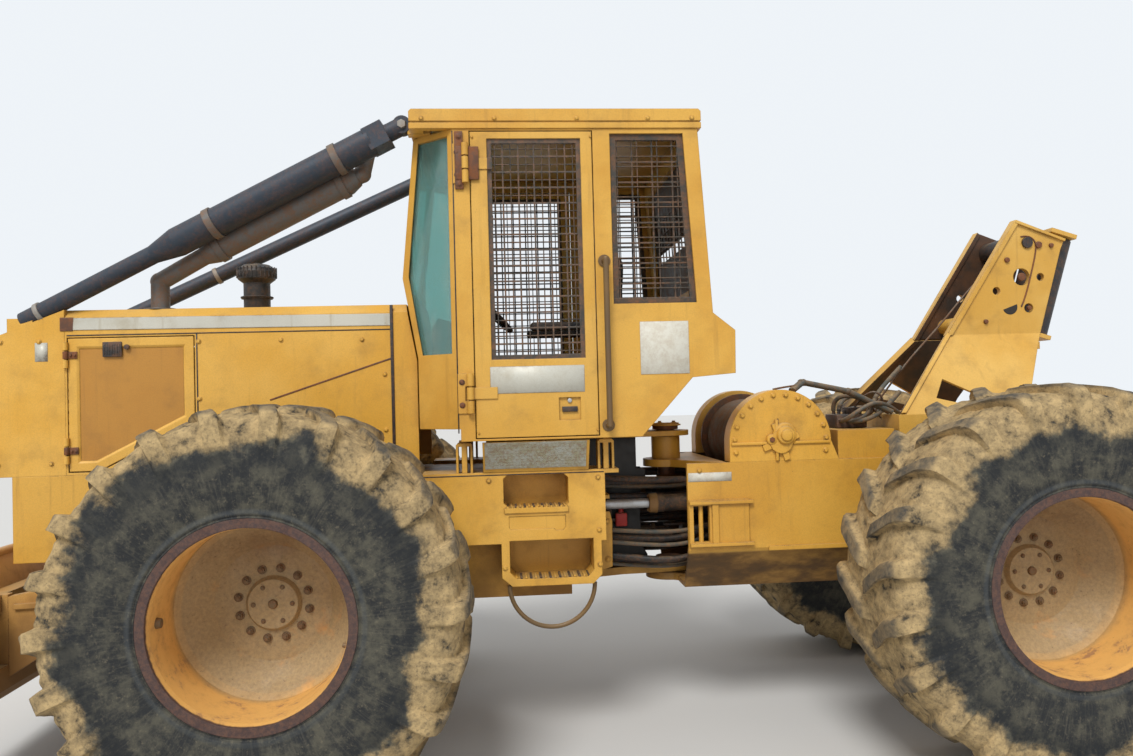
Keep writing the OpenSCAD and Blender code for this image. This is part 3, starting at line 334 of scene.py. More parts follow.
colour = blendColours(times(shine, 0.35), colour, (150, 146, 140))
rough = plus(0.5, times(most(rusty, dusty), 0.35), clamp=True)
relief = plus(times(blotch, 0.4), times(speck, 0.6))
oldIron = finishGroup(Color=colour, Roughness=rough, Normal=bump(relief, 0.5, 0.003, Normal=worn["Normal"]))

paints = {  # sprayed paint, faded paint, grime and painted shade in hollows, streaks, wear, height of the mud and painted shade low down, darkness of inner walls from rust and painted shade
    "hoodPaint": ((218, 163, 56), (228, 178, 80), 0.3, 0.3, 0.55, 0.6, 0.0),
    "cabPaint": ((208, 153, 54), (222, 172, 74), 0.28, 0.32, 0.45, 0.6, 0.0),
    "framePaint": ((208, 154, 54), (220, 170, 72), 0.5, 0.5, 0.6, 0.9, 0.9),
    "boxPaint": ((214, 160, 58), (226, 176, 78), 0.45, 0.45, 0.6, 0.78, 0.0),
    "archPaint": ((212, 162, 66), (224, 180, 92), 0.4, 0.4, 0.6, 0.5, 1.0),
    "winchPaint": ((222, 167, 62), (228, 178, 80), 0.42, 0.35, 0.5, 0.4, 0.0),
    "bladePaint": ((188, 136, 62), (206, 158, 88), 0.7, 0.5, 0.9, 0.8, 0.0),
    "recessPaint": ((182, 124, 44), (188, 134, 54), 0.35, 0.35, 0.25, 0.6, 0.0),
    "axlePaint": ((150, 112, 60), (120, 94, 58), 0.9, 0.3, 0.8, 1.2, 0.0),
    "grabPaint": ((120, 92, 52), (96, 78, 52), 0.6, 0.3, 1.0, 0.3, 0.0)}
for name, (fresh, faded, grimeAndShade, streaks, wear, mudHeight, inside) in paints.items():
    paintFinish(name, Paint=fresh, Faded=faded, Grime=grimeAndShade, Streaks=streaks, Wear=wear, Mud_Height=mudHeight,
                Inside=inside)
paintFinish("redPaint", Paint=(196, 40, 34), Faded=(206, 66, 52), Grime_Colour=(90, 40, 32), Grime=0.3, Streaks=0.2,
            Wear=0.5, Mud_Height=0.3)
# Near-black greasy paint whose darkness also paints the shade in the gap between the frames and in the arch's hole
paintFinish("cavityPaint", Paint=(40, 33, 26), Faded=(34, 30, 26), Grime_Colour=(20, 18, 16), Grime=0.8, Streaks=0.6,
            Wear=0.8, Mud_Height=0.9)

usualRust = (104, 62, 40)
usualDust = (140, 120, 90)
metals = {  # metallic share, bare metal, rust, dust, rustiness, dustiness
    "rubberSeal": (0.0, (27, 27, 28), (42, 40, 37), (90, 84, 74), 0.4, 0.2),
    "darkSteel": (0.35, (58, 57, 58), usualRust, usualDust, 0.45, 0.5),
    "guardSteel": (0.2, (60, 56, 50), (92, 66, 46), usualDust, 0.6, 0.45),
    "riserSteel": (0.3, (48, 57, 68), (58, 56, 58), (96, 100, 104), 0.25, 0.2),
    "exhaustSteel": (0.3, (104, 101, 98), (110, 94, 80), usualDust, 0.6, 0.4),
    "rustySteel": (0.25, (92, 62, 46), (128, 74, 42), usualDust, 0.9, 0.35),
    "castIron": (0.2, (96, 84, 68), (98, 66, 44), usualDust, 0.5, 0.8),
    "drumSteel": (0.4, (86, 66, 52), (96, 60, 40), usualDust, 0.9, 0.4),
    "rollerSteel": (0.3, (46, 48, 52), (74, 60, 52), usualDust, 0.3, 0.35),
    "blackPlastic": (0.0, (36, 36, 38), (56, 52, 46), usualDust, 0.3, 0.4),
    "hoseRubber": (0.0, (66, 70, 66), (96, 92, 74), usualDust, 0.6, 0.6),
    "barrelSteel": (0.2, (44, 42, 40), (70, 56, 42), usualDust, 0.6, 0.5),
    "plateMetal": (0.0, (214, 212, 200), (178, 164, 132), (190, 182, 156), 0.25, 0.4),
    "clampSteel": (0.3, (150, 148, 142), (120, 92, 66), usualDust, 0.3, 0.4),
    "oldHose": (0.0, (30, 31, 31), (52, 50, 44), usualDust, 0.5, 0.3),
    "chrome": (0.9, (196, 198, 200), (120, 104, 84), usualDust, 0.15, 0.35),
    "ropeSteel": (0.5, (104, 92, 80), (96, 64, 42), usualDust, 0.7, 0.3)}
for name, (metallic, metal, rust, dust, rustiness, dustiness) in metals.items():
    ironFinish(name, metallic, Metal=metal, Rust=rust, Dust=dust, Rustiness=rustiness, Dustiness=dustiness)
ironFinish("nutSteel", 0.2, Metal=(116, 96, 68), Rust=(84, 56, 40), Rustiness=0.6, Dustiness=0.7, Size=0.003)
ironFinish("treadSteel", 0.1, Metal=(176, 178, 168), Rust=(168, 162, 118), Dust=(150, 152, 134), Rustiness=0.7,
           Dustiness=0.6, Size=0.002)

# Rear frame: clean sides over a dirty brown band
newMaterial("rearPaint")
paint = placeGroup(weatheredPaint, Paint=(208, 154, 56), Faded=(218, 167, 70), Grime=0.32, Streaks=0.4, Wear=0.5,
                   Mud_Height=0.7, Inside=0.95)
place = objectPlace()
stain = grainAt(place, 3.2, 6, 0.62, stretch=(1, 1, 2.2))
band = times(between(along(place)["Z"], 0.944, 0.930), between(stain, 0.3, 0.56, 0.55, 1.0))
bandTone = blendColours(between(stain, 0.4, 0.7), (112, 80, 42), (78, 60, 38))
shade(blendColours(band, paint["Color"], bandTone), most(paint["Roughness"], times(band, 0.85)), paint["Normal"])

# Faded strip whose printing has worn away to a bare band
newMaterial("bareStrip", 0.1)
strip = placeGroup(weatheredPaint, Paint=(192, 192, 182), Faded=(206, 204, 192), Grime_Colour=(150, 134, 100),
                   Grime=0.5, Streaks=0.6, Wear=0.6, Mud_Height=0.2)
shade(strip["Color"], strip["Roughness"], strip["Normal"])

# Cab window: greenish tint with dust along the low edge
newMaterial("windowGlass", 0.0, Transmission_Weight=0.75, IOR=1.45)
dusty = between(grainAt(objectPlace(), 5, 6, 0.7, stretch=(1, 1, 0.4)), 0.42, 0.7)
shade(blendColours(dusty, (150, 205, 200), (182, 212, 204)), between(dusty, 0, 1, 0.04, 0.22))

# Rubber: charcoal walls, dried mud over the shoulders, grey worn lug tops
newMaterial("tyreRubber", 0.0, IOR=1.3)
place = objectPlace()
where = placeGroup(wheelPlace)
lugAt = put("Attribute", settings={"attribute_name": "lugMask"})["Fac"]
ragged = grainAt(place, 5.2, 7, 0.66)
blotch = grainAt(place, 13, 8, 0.7)
speck = grainAt(place, 60, 6, 0.75)
rays = grainAt(where["Turned"], 6.0, 6, 0.7)
teeth = grainAt(place, 2.3, 5)
wall = blendColours(between(blotch, 0.4, 0.66), (42, 44, 46), (84, 82, 72))
wall = blendColours(times(between(rays, 0.46, 0.74), 0.3), wall, (108, 104, 92))
wall = blendColours(times(between(speck, 0.54, 0.7), 0.45), wall, (122, 114, 96))
ringEdge = plus(where["Radius"], times(minus(ragged, 0.5), 0.34), times(minus(teeth, 0.5), 0.42))
mudTone = blendColours(between(blotch, 0.32, 0.68), (134, 117, 88), (196, 170, 124))
mudTone = blendColours(between(speck, 0.46, 0.76), mudTone, (112, 100, 80))
mudMask = times(between(ringEdge, 0.705, 0.775), between(ringEdge, 1.02, 0.90), between(blotch, 0.3, 0.44))
fresh = times(between(ringEdge, 0.71, 0.68), between(where["Radius"], 0.6, 0.68))
wall = blendColours(times(fresh, 0.6), wall, (36, 39, 42))
colour = blendColours(mudMask, wall, mudTone)
topMask = times(between(where["Radius"], 0.85, 0.872), between(lugAt, 0.5, 0.9))
topTone = blendColours(between(blotch, 0.36, 0.64), (82, 80, 76), (138, 122, 96))
colour = blendColours(times(topMask, 0.85), colour, topTone)
rimRing = times(between(where["Radius"], 0.445, 0.455), between(where["Radius"], 0.475, 0.462))
colour = blendColours(times(rimRing, 0.25), colour, (88, 94, 98))
relief = plus(times(blotch, 0.7), times(speck, 0.35), times(mudMask, blotch, 0.8))
shade(colour, between(mudMask, 0, 1, 0.68, 0.95), bump(relief, 0.7, 0.008))

# Rim: rusty flange, bright barrel, dust caked on the disc
newMaterial("rimPaint")
place = objectPlace()
where = placeGroup(wheelPlace)
worn = placeGroup(edgeWear, Size=0.006)
broad = grainAt(place, 3.4, 6, 0.62)
blotch = grainAt(place, 12, 8, 0.7)
speck = grainAt(place, 70, 6, 0.74)
barrel = blendColours(between(blotch, 0.42, 0.7), (230, 178, 100), (206, 158, 92))
barrel = blendColours(times(between(blotch, 0.56, 0.66), between(where["Drop"], 0.1, -0.35)), barrel, (172, 128, 88))
dustTone = blendColours(between(speck, 0.3, 0.7), (176, 152, 112), (150, 130, 98))
disc = blendColours(times(between(broad, 0.55, 0.68), 0.7), dustTone, (204, 148, 84))
upper = times(between(where["Drop"], 0.08, 0.32), between(broad, 0.3, 0.6))
disc = blendColours(times(upper, 0.6), disc, (104, 76, 54))
deep = between(plus(where["Side"], times(minus(broad, 0.5), 0.1)), 1.10, 1.02)
inner = between(where["Radius"], 0.385, 0.36)
colour = blendColours(most(times(deep, 0.85), inner), barrel, disc)
flangeTone = blendColours(between(speck, 0.36, 0.66), (66, 50, 48), (96, 68, 56))
flange = times(between(where["Radius"], 0.412, 0.418), between(where["Side"], 1.3, 1.32))
lip = between(plus(where["Side"], times(blotch, 0.03)), 1.345, 1.357)
colour = blendColours(most(flange, lip), colour, flangeTone)
colour = blendColours(times(between(speck, 0.64, 0.68), 0.7), colour, (96, 60, 40))
relief = plus(times(blotch, 0.6), times(speck, 0.3))
shade(colour, between(blotch, 0.3, 0.7, 0.5, 0.85), bump(relief, 0.5, 0.004, Normal=worn["Normal"]))

# Door: cab paint with bare dark bars in the window
doorWindow = {"x": 0.1625, "z": 2.486, "halfWidth": 0.2274, "halfHeight": 0.5359}
newMaterial("doorPaint")
paint = placeGroup(weatheredPaint, Paint=(214, 162, 62), Faded=(222, 174, 80), Grime=0.35, Streaks=0.35, Wear=0.5,
                   Mud_Height=0.6)
bars = placeGroup(oldIron, Metal=(60, 56, 50), Rust=(92, 66, 46), Rustiness=0.6, Dustiness=0.45)
spot = along(objectPlace())
inWindow = times(
    maths("LESS_THAN", single("ABSOLUTE", minus(spot["X"], doorWindow["x"])), doorWindow["halfWidth"]),
    maths("LESS_THAN", single("ABSOLUTE", minus(spot["Z"], doorWindow["z"])), doorWindow["halfHeight"]))
shade(blendColours(inWindow, paint["Color"], bars["Color"]), paint["Roughness"], paint["Normal"])

newMaterial("seatVinyl")
place = objectPlace()
blotch = grainAt(place, 14, 6, 0.66)
pebble = put("TexVoronoi", Vector=place, Scale=420.0)["Distance"]
colour = blendColours(between(blotch, 0.4, 0.7), (58, 58, 58), (92, 88, 80))
shade(colour, between(blotch, 0.3, 0.7, 0.5, 0.75), bump(plus(times(pebble, 0.3), blotch), 0.4, 0.002))

nodeFinishes = {
    "castIron": "engine transmission", "hoodPaint": "radiator_guard hood engine_door_left engine_door_right",
    "cabPaint": "cab_shell cab_roof", "windowGlass": "cab_glass", "guardSteel": "window_guards",
    "boxPaint": "cab_mounts side_boxes", "blackPlastic": "seat console precleaner", "riserSteel": "risers",
    "exhaustSteel": "muffler", "grabPaint": "handholds", "axlePaint": "front_axle rear_axle",
    "bladePaint": "blade blade_arms", "rearPaint": "rear_frame", "rustySteel": "pivot_pins",
    "winchPaint": "winch_housing", "drumSteel": "winch_drum", "archPaint": "arch",
    "rollerSteel": "side_roller_left side_roller_right top_roller", "hoseRubber": "hoses",
    "barrelSteel": "blade_barrel_left blade_barrel_right steer_barrel_left steer_barrel_right",
    "chrome": "blade_rod_left blade_rod_right steer_rod_left steer_rod_right", "doorPaint": "door_left door_right",
    "tyreRubber": " ".join("tyre_" + wheel for wheel in wheels),
    "rimPaint": " ".join("rim_" + wheel for wheel in wheels)}
finishOf = {node: finish for finish, names in nodeFinishes.items() for node in names.split()}
for name, node in nodes.items():
    finish = bpy.data.materials[finishOf.get(name, "framePaint")]
    for place in node.material_slots:
        place.material = finish
    if not node.material_slots:
        node.data.materials.append(finish)
print("finishes made")


def finishPiece(name, body, finishes, sharp=26, standsFor=None):
    # the shape at work becomes a piece, its finishes named in one text
    mesh = bpy.data.meshes.new(name)
    bench["shape"].to_mesh(mesh)
    bench["shape"].free()
    piece = show(name, mesh)
    for finish in finishes.split():
        mesh.materials.append(bpy.data.materials[finish])
    mesh.polygons.foreach_set("use_smooth", [True] * len(mesh.polygons))
    mesh.set_sharp_from_angle(angle=math.radians(sharp))
    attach(piece, body)
    if standsFor:
        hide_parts(standsFor)
    return piece


def newShape():
    bench["shape"] = bmesh.new()
    return bench["shape"]


def softenEdges(faces, size, segments=2):
    if size > 0:
        edges = list({e for f in faces for e in f.edges})
        bmesh.ops.bevel(bench["shape"], geom=edges, offset=size, offset_type="OFFSET", affect="EDGES",
                        segments=segments, profile=0.5, material=-1, clamp_overlap=True)


def facesOf(verts, finish=0):
    faces = list({f for v in verts for f in v.link_faces})
    for face in faces:
        face.material_index = finish
    return faces


def addCube(low, high, finish=0):
    low, high = Vector(low), Vector(high)
    matrix = Matrix.Translation((low + high) / 2) @ Matrix.Diagonal((*(high - low), 1))
    made = bmesh.ops.create_cube(bench["shape"], size=1.0, matrix=matrix)["verts"]
    return made, facesOf(made, finish)


def addBox(low, high, soft=0.002, finish=0, segments=2):
    softenEdges(addCube(low, high, finish)[1], soft, segments)


def addRod(start, end, radius, endRadius=None, sides=16, soft=0.0, finish=0):
    start, end = Vector(start), Vector(end)
    reach = end - start
    made = bmesh.ops.create_cone(
        bench["shape"], cap_ends=True, cap_tris=False, segments=sides, radius1=radius,
        radius2=radius if endRadius is None else endRadius, depth=reach.length,
        matrix=Matrix.Translation((start + end) / 2) @ reach.to_track_quat("Z", "Y").to_matrix().to_4x4())
    faces = facesOf(made["verts"], finish)
    softenEdges([f for f in faces if len(f.verts) > 4], soft)


def addStud(x, z, low, high, radius, endRadius=None, **options):
    # a rod across the machine
    addRod((x, low, z), (x, high, z), radius, endRadius, **options)


def addBolt(place, radius=0.011, height=0.009, washer=True, finish=0, outward=(0, 1, 0)):
    place, outward = Vector(place), Vector(outward).normalized()
    if washer:
        addRod(place - outward * 0.002, place + outward * 0.0025, radius * 1.55, sides=14, finish=finish)
    addRod(place, place + outward * (height + 0.0025), radius * 1.06, radius, sides=6, finish=finish)


def addBolts(depth, spots, radius, height, washer=True, finish=0):
    for x, z in spots:
        addBolt((x, depth, z), radius, height, washer, finish)


def thicken(faces, reach):
    # draws faces out along y and gives back the new corners
    grown = bmesh.ops.extrude_face_region(bench["shape"], geom=faces)
    moved = [v for v in grown["geom"] if isinstance(v, bmesh.types.BMVert)]
    bmesh.ops.translate(bench["shape"], verts=moved, vec=(0, reach, 0))
    return moved


def addPlate(outline, low, high, soft=0.0015, finish=0):
    # an outline of x and z, from one y to another
    shape = bench["shape"]
    corners = [shape.verts.new((x, low, z)) for x, z in outline]
    faces = facesOf(corners + thicken([shape.faces.new(corners)], high - low), finish)
    bmesh.ops.recalc_face_normals(shape, faces=faces)
    softenEdges(faces, soft, 1)


def addFrame(outline, width, low, high, finish=0):
    # a flat ring along an outline of x and z
    shape = bench["shape"]
    face = shape.faces.new([shape.verts.new((x, high, z)) for x, z in outline])
    ring = bmesh.ops.inset_region(shape, faces=[face], thickness=width, use_even_offset=True)["faces"]
    bmesh.ops.delete(shape, geom=[face], context="FACES")
    moved = thicken(ring, low - high)
    faces = list(set(facesOf(moved, finish)) | {f for f in ring if f.is_valid})
    for f in faces:
        f.material_index = finish
    bmesh.ops.recalc_face_normals(shape, faces=faces)


def mirrored():
    shape = bench["shape"]
    bmesh.ops.scale(shape, vec=(1, -1, 1), verts=shape.verts)
    bmesh.ops.reverse_faces(shape, faces=shape.faces)


def bothSides(name, build, body, finishes, standsFor=""):
    # a left piece and its mirror image; a body or node ending in left gives way to the one ending in right
    for side in ("Left", "Right"):
        newShape()
        build()
        if side == "Right":
            mirrored()
            body, standsFor = body.replace("_left", "_right"), standsFor.replace("_left", "_right")
        finishPiece(name + side, body, finishes, standsFor=standsFor)


def makeHoses(name, runs, radius, body, finish):
    curve = bpy.data.curves.new(name, "CURVE")
    curve.dimensions = "3D"
    curve.bevel_depth = radius
    curve.bevel_resolution = 3
    curve.resolution_u = 8
    curve.use_fill_caps = True
    for points in runs:
        spline = curve.splines.new("NURBS")
        spline.points.add(len(points) - 1)
        for dot, place in zip(spline.points, points):
            dot.co = (*place, 1)
        spline.order_u = min(4, len(points))
        spline.use_endpoint_u = True
    drawn = show(name + "Line", curve)
    mesh = bpy.data.meshes.new_from_object(drawn.evaluated_get(bpy.context.evaluated_depsgraph_get()))
    bpy.data.objects.remove(drawn)
    hose = show(name, mesh)
    mesh.materials.clear()
    mesh.materials.append(bpy.data.materials[finish])
    mesh.polygons.foreach_set("use_smooth", [True] * len(mesh.polygons))
    if isinstance(body, tuple):
        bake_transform(hose, *body)
    else:
        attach(hose, body)


# Tyres
tyre = {"lugs": 22, "columns": 32, "lugWidth": 0.076, "ramp": 0.014, "wobble": 0.007, "wear": 0.006, "caked": 0.010,
        "reach": 0.8842, "measuredAt": 0.86}
wallPlaces = [  # radius and half width of the bare wall, then of the lug's top, from the bead to the tread's middle
    (0.406, 0.280, 0.406, 0.280), (0.432, 0.298, 0.432, 0.298), (0.4335, 0.3095, 0.4335, 0.3095),
    (0.441, 0.3065, 0.441, 0.3065), (0.448, 0.312, 0.448, 0.312), (0.458, 0.3125, 0.458, 0.3125),
    (0.464, 0.310, 0.464, 0.310), (0.480, 0.3145, 0.480, 0.3145), (0.502, 0.3175, 0.502, 0.3175),
    (0.530, 0.3205, 0.530, 0.3205), (0.560, 0.3228, 0.560, 0.3228), (0.600, 0.324, 0.600, 0.3243),
    (0.635, 0.3232, 0.636, 0.325), (0.662, 0.3215, 0.664, 0.3255), (0.690, 0.3175, 0.694, 0.3257),
    (0.718, 0.3125, 0.728, 0.3257), (0.745, 0.3065, 0.760, 0.3255), (0.770, 0.300, 0.792, 0.3250),
    (0.791, 0.292, 0.822, 0.3235), (0.808, 0.281, 0.846, 0.3165), (0.820, 0.266, 0.862, 0.305),
    (0.829, 0.245, 0.8735, 0.288), (0.836, 0.219, 0.880, 0.264), (0.841, 0.190, 0.8835, 0.236),
    (0.8432, 0.160, 0.8842, 0.205), (0.8435, 0.130, 0.8842, 0.172), (0.8435, 0.100, 0.8842, 0.138),
    (0.8435, 0.072, 0.8842, 0.104), (0.8435, 0.046, 0.8842, 0.070), (0.8435, 0.022, 0.8842, 0.036),
    (0.8435, 0.0, 0.8435, 0.0)]
lugReach = [(0.0, 0.0), (0.15, 0.102), (0.26, 0.142), (0.33, 0.16)]    # distance from the middle plane, way round


def lugLean(half):
    for (a0, t0), (a1, t1) in zip(lugReach, lugReach[1:]):
        if half <= a1:
            return t0 + (t1 - t0) * (half - a0) / (a1 - a0)
    return lugReach[-1][1]


def smoothStep(value, low, high):
    t = min(max((value - low) / (high - low), 0), 1)
    return t * t * (3 - 2 * t)


def tyreShape():
    shape = newShape()
    rows = wallPlaces + [(r, -y, topR, -topY) for r, y, topR, topY in reversed(wallPlaces[:-1])]
    shape.verts.layers.float.new("lugMask")
    level = shape.verts.layers.int.new("row")
    lugLayer = shape.verts.layers.float["lugMask"]
    ring = [shape.verts.new((row[0], row[1], 0)) for row in rows]
    loop = [shape.edges.new(pair) for pair in zip(ring, ring[1:])]
    for i, v in enumerate(ring):
        v[level] = i
    bmesh.ops.spin(shape, geom=ring + loop, axis=(0, 1, 0), cent=(0, 0, 0), angle=math.tau,
                   steps=tyre["lugs"] * tyre["columns"], use_merge=True)
    pitch = math.tau / tyre["lugs"]
    for v in shape.verts:
        base, half, topRadius, topHalf = rows[v[level]]
        across = abs(half)
        angle = math.atan2(v.co.z, v.co.x)
        side = 1 if half >= 0 else -1
        count = angle / pitch + (0.5 if side < 0 else 0)
        phase = count % 1 - 0.5
        seed = Vector((math.floor(count) * 3.1, side * 5.0, 0))
        wobble = noise.noise(seed + Vector((across * 14, base * 9, 0))) * tyre["wobble"]
        widen = 1 + 0.16 * smoothStep(across, 0.2, 0.3) + 0.12 * noise.noise(seed * 1.7)
        distance = abs(phase * pitch * tyre["measuredAt"] + wobble)
        edge = tyre["lugWidth"] * widen / 2
        mask = 1 - smoothStep(distance, edge - tyre["ramp"] / 2, edge + tyre["ramp"] / 2)
        mask *= smoothStep(across, 0.0, 0.028)
        if across > 0.26:
            endNoise = 0.02 * noise.noise(seed * 2.3)
            mask *= smoothStep(base, 0.655 + endNoise, 0.735 + endNoise)
        lean = lugLean(across) / tyre["measuredAt"]
        dig = noise.noise(Vector((math.cos(angle) * 22, across * 30, math.sin(angle) * 22)))
        worn = noise.noise(seed + Vector((across * 9, phase * 3, 2))) + 0.6 * dig
        worn = max(tyre["wear"] * mask * (0.5 + worn), 0)
        caked = (1 - mask) * smoothStep(base, 0.72, 0.8) * tyre["caked"] * max(0, 0.4 + dig)
        radius = min(base + (topRadius - base) * mask - worn + caked, tyre["reach"])
        depth = across + (abs(topHalf) - across) * mask - worn * (0.5 if base > 0.7 else 0)
        v.co = Vector((math.cos(angle + lean) * radius, side * depth, math.sin(angle + lean) * radius))
        v[lugLayer] = mask
    shape.verts.layers.int.remove(shape.verts.layers.int["row"])
    # Close the hollow between the beads so that the tyre is one solid ring
    bmesh.ops.bridge_loops(shape, edges=[e for e in shape.edges if e.is_boundary])
    bmesh.ops.recalc_face_normals(shape, faces=shape.faces)
    return shape


def capitals(wheel):
    return "".join(word.capitalize() for word in wheel.split("_"))


master = tyreShape()
masterMesh = bpy.data.meshes.new("tyreMaster")
master.to_mesh(masterMesh)
master.free()
for wheel, (x, side, turn) in wheels.items():
    shape = newShape()
    shape.from_mesh(masterMesh)
    if side < 0:
        mirrored()
    bmesh.ops.rotate(shape, verts=shape.verts, cent=(0, 0, 0), matrix=Matrix.Rotation(turn, 3, "Y"))
    bmesh.ops.translate(shape, verts=shape.verts, vec=(x, side * trackHalf, axleHeight))
    finishPiece("tyre" + capitals(wheel), "wheel_" + wheel, "tyreRubber", 50, "tyre_" + wheel)
bpy.data.meshes.remove(masterMesh)
print("tyres made")


def around(count, radius, start=0.0):
    # offsets evenly round a circle
    turns = [math.tau * i / count + start for i in range(count)]
    return [(radius * math.cos(a), radius * math.sin(a)) for a in turns]


# Hub nuts, cap and valve of each wheel
hub = {"nuts": 12, "circle": 0.156, "nutRadius": 0.0135, "face": 0.920, "capBolts": 6, "capCircle": 0.084,
       "capFace": 0.946, "wall": 0.3935, "wallPlace": 1.235}
for wheel, (x, side, turn) in wheels.items():
    newShape()
    for dx, dz in around(hub["nuts"], hub["circle"], 0.2):
        nutX, nutZ, y, nut = x + dx, axleHeight + dz, hub["face"], hub["nutRadius"]
        addStud(nutX, nutZ, y - 0.003, y + 0.004, nut * 1.5, sides=14)
        addStud(nutX, nutZ, y, y + 0.018, nut * 1.08, nut, sides=6)
        addStud(nutX, nutZ, y + 0.016, y + 0.026, nut * 0.55, sides=8)
    capSpots = [(x + dx, axleHeight + dz) for dx, dz in around(hub["capBolts"], hub["capCircle"])]
    addBolts(hub["capFace"], capSpots, 0.007, 0.005)
    addStud(x, axleHeight, 0.944, 0.958, 0.022, 0.018, sides=20, soft=0.002)
    # Ballast plug on the barrel wall and the valve opposite
    for a, r in ((0.02, 0.024), (math.pi * 1.1, 0.012)):
        inward = Vector((math.cos(a), 0, math.sin(a)))
        wall = Vector((x, hub["wallPlace"], axleHeight)) + inward * hub["wall"]
        addRod(wall, wall - inward * 0.026, r, r * 0.8, sides=18, soft=0.002)
    if side < 0:
        mirrored()
    finishPiece("hubNuts" + capitals(wheel), "wheel_" + wheel, "nutSteel", 35)
print("hub nuts made")

# Engine doors with their recessed panels
engineDoor = {"outline": [(2.465, 1.458), (2.465, 2.112), (1.865, 2.112), (1.865, 1.690), (2.325, 1.458)],
              "face": 0.430, "sheet": 0.008, "rim": 0.040, "fold": 0.012, "sunk": 0.007}


def buildEngineDoor():
    shape, y = bench["shape"], engineDoor["face"]
    thicken([shape.faces.new([shape.verts.new((x, y, z)) for x, z in engineDoor["outline"]])], -engineDoor["sheet"])
    bmesh.ops.recalc_face_normals(shape, faces=shape.faces)
    front = max((f for f in shape.faces), key=lambda f: f.calc_center_median().y)
    for width in (engineDoor["rim"], engineDoor["fold"]):
        bmesh.ops.inset_region(shape, faces=[front], thickness=width, use_even_offset=True)
    bmesh.ops.translate(shape, verts=front.verts, vec=(0, -engineDoor["sunk"], 0))
    front.material_index = 1
    softenEdges([f for f in shape.faces if abs(f.normal.y) < 0.5], 0.0015, 1)
    for z in (1.560, 2.030):
        addRod((2.473, y + 0.010, z - 0.018), (2.473, y + 0.010, z + 0.018), 0.012, finish=2, soft=0.001)
        addBox((2.420, y, z - 0.017), (2.466, y + 0.006, z + 0.017), 0.001, 2)
        addBolts(y + 0.006, [(2.430, z), (2.450, z)], 0.006, 0.004, False, 2)
    # Ribbed latch and its catch
    addBox((2.208, y - 0.002, 2.018), (2.300, y + 0.006, 2.092), 0.003, 3)
    for i in range(7):
        addBox((2.216 + 0.012 * i, y + 0.006, 2.030), (2.221 + 0.012 * i, y + 0.0085, 2.080), 0.0008, 3)
    addStud(2.184, 2.065, y, y + 0.010, 0.013, sides=14, soft=0.002, finish=3)


bothSides("engineDoor", buildEngineDoor, "engine_door_left", "hoodPaint recessPaint rustySteel darkSteel",
          "engine_door_left")


def buildHoodTrim():
    y = engineDoor["face"]
    # Blank strip along the hood, dented at its front
    addPlate([(2.497, 2.153), (0.893, 2.146), (0.893, 2.207), (2.497, 2.213)], y + 0.0005, y + 0.0035, 0.001, 0)
    addPlate([(2.50, 2.149), (2.50, 2.216), (2.435, 2.216), (2.44, 2.149)], y + 0.0005, y + 0.0045, 0.001, 1)
    # Seal in front of the cab, seams of the panels
    addBox((0.884, 0.424, 1.44), (0.899, 0.437, 2.25), 0.002, 2)
    addBox((1.846, 0.4295, 1.50), (1.853, 0.4312, 2.13), 0.0005, 2)
    addBox((0.90, 0.4295, 2.124), (2.47, 0.4315, 2.130), 0.0005, 2)
    # Rusty diagonal seam
    start, end = Vector((1.499, 1.785)), Vector((0.893, 1.981))
    across = Vector((-(end - start).y, (end - start).x)).normalized() * 0.004
    addPlate([start - across, start + across, end + across, end - across], 0.4295, 0.4325, 0.0005, 1)
    addBolts(y, ((1.84, 2.085), (1.04, 2.078), (1.44, 2.085), (1.84, 1.80), (0.93, 1.90), (0.93, 1.62), (2.60, 2.10),
                 (2.78, 2.10), (2.55, 1.50), (2.80, 1.50), (1.15, 1.60)), 0.008, 0.005, True, 3)
    # Small blank sticker on the guard
    addBox((2.560, 0.4302, 2.002), (2.620, 0.4316, 2.094), 0.0005, 0)


bothSides("hoodTrim", buildHoodTrim, "front", "bareStrip rustySteel rubberSeal hoodPaint")

wire = {"radius": 0.0032, "pitch": 0.076, "firstX": -0.027, "firstZ": 1.988}


def buildDoorTrim():
    addFrame([(-0.072, 1.943), (0.397, 1.943), (0.397, 3.029), (-0.072, 3.029)], 0.024, 0.674, 0.684, 0)
    # Wires halfway between the door's own bars
    for i in range(6):
        x = wire["firstX"] + wire["pitch"] * i
        addRod((x, 0.6625, 1.955), (x, 0.6625, 3.017), wire["radius"], sides=6, finish=1)
    for i in range(14):
        z = wire["firstZ"] + wire["pitch"] * i
        addRod((-0.06, 0.6575, z), (0.385, 0.6575, z), wire["radius"], sides=6, finish=1)
    # Blank plate, latch in its hollow
    addBox((-0.057, 0.6802, 1.786), (0.399, 0.6822, 1.916), 0.001, 2)
    addFrame([(-0.048, 1.638), (0.083, 1.638), (0.083, 1.769), (-0.048, 1.769)], 0.014, 0.676, 0.6835, 3)
    addBox((-0.020, 0.668, 1.690), (0.055, 0.679, 1.716), 0.003, 3)
    addStud(0.0175, 1.745, 0.668, 0.676, 0.011, soft=0.001, finish=4)
    addBolts(0.68, [(x, z) for x in (-0.115, 0.46) for z in (1.60, 3.03)], 0.006, 0.004, False, 5)


bothSides("doorTrim", buildDoorTrim, "door_left", "rubberSeal guardSteel bareStrip blackPlastic chrome cabPaint")

sill = {"foot": 1.40, "slope": 0.579, "face": 0.5845}


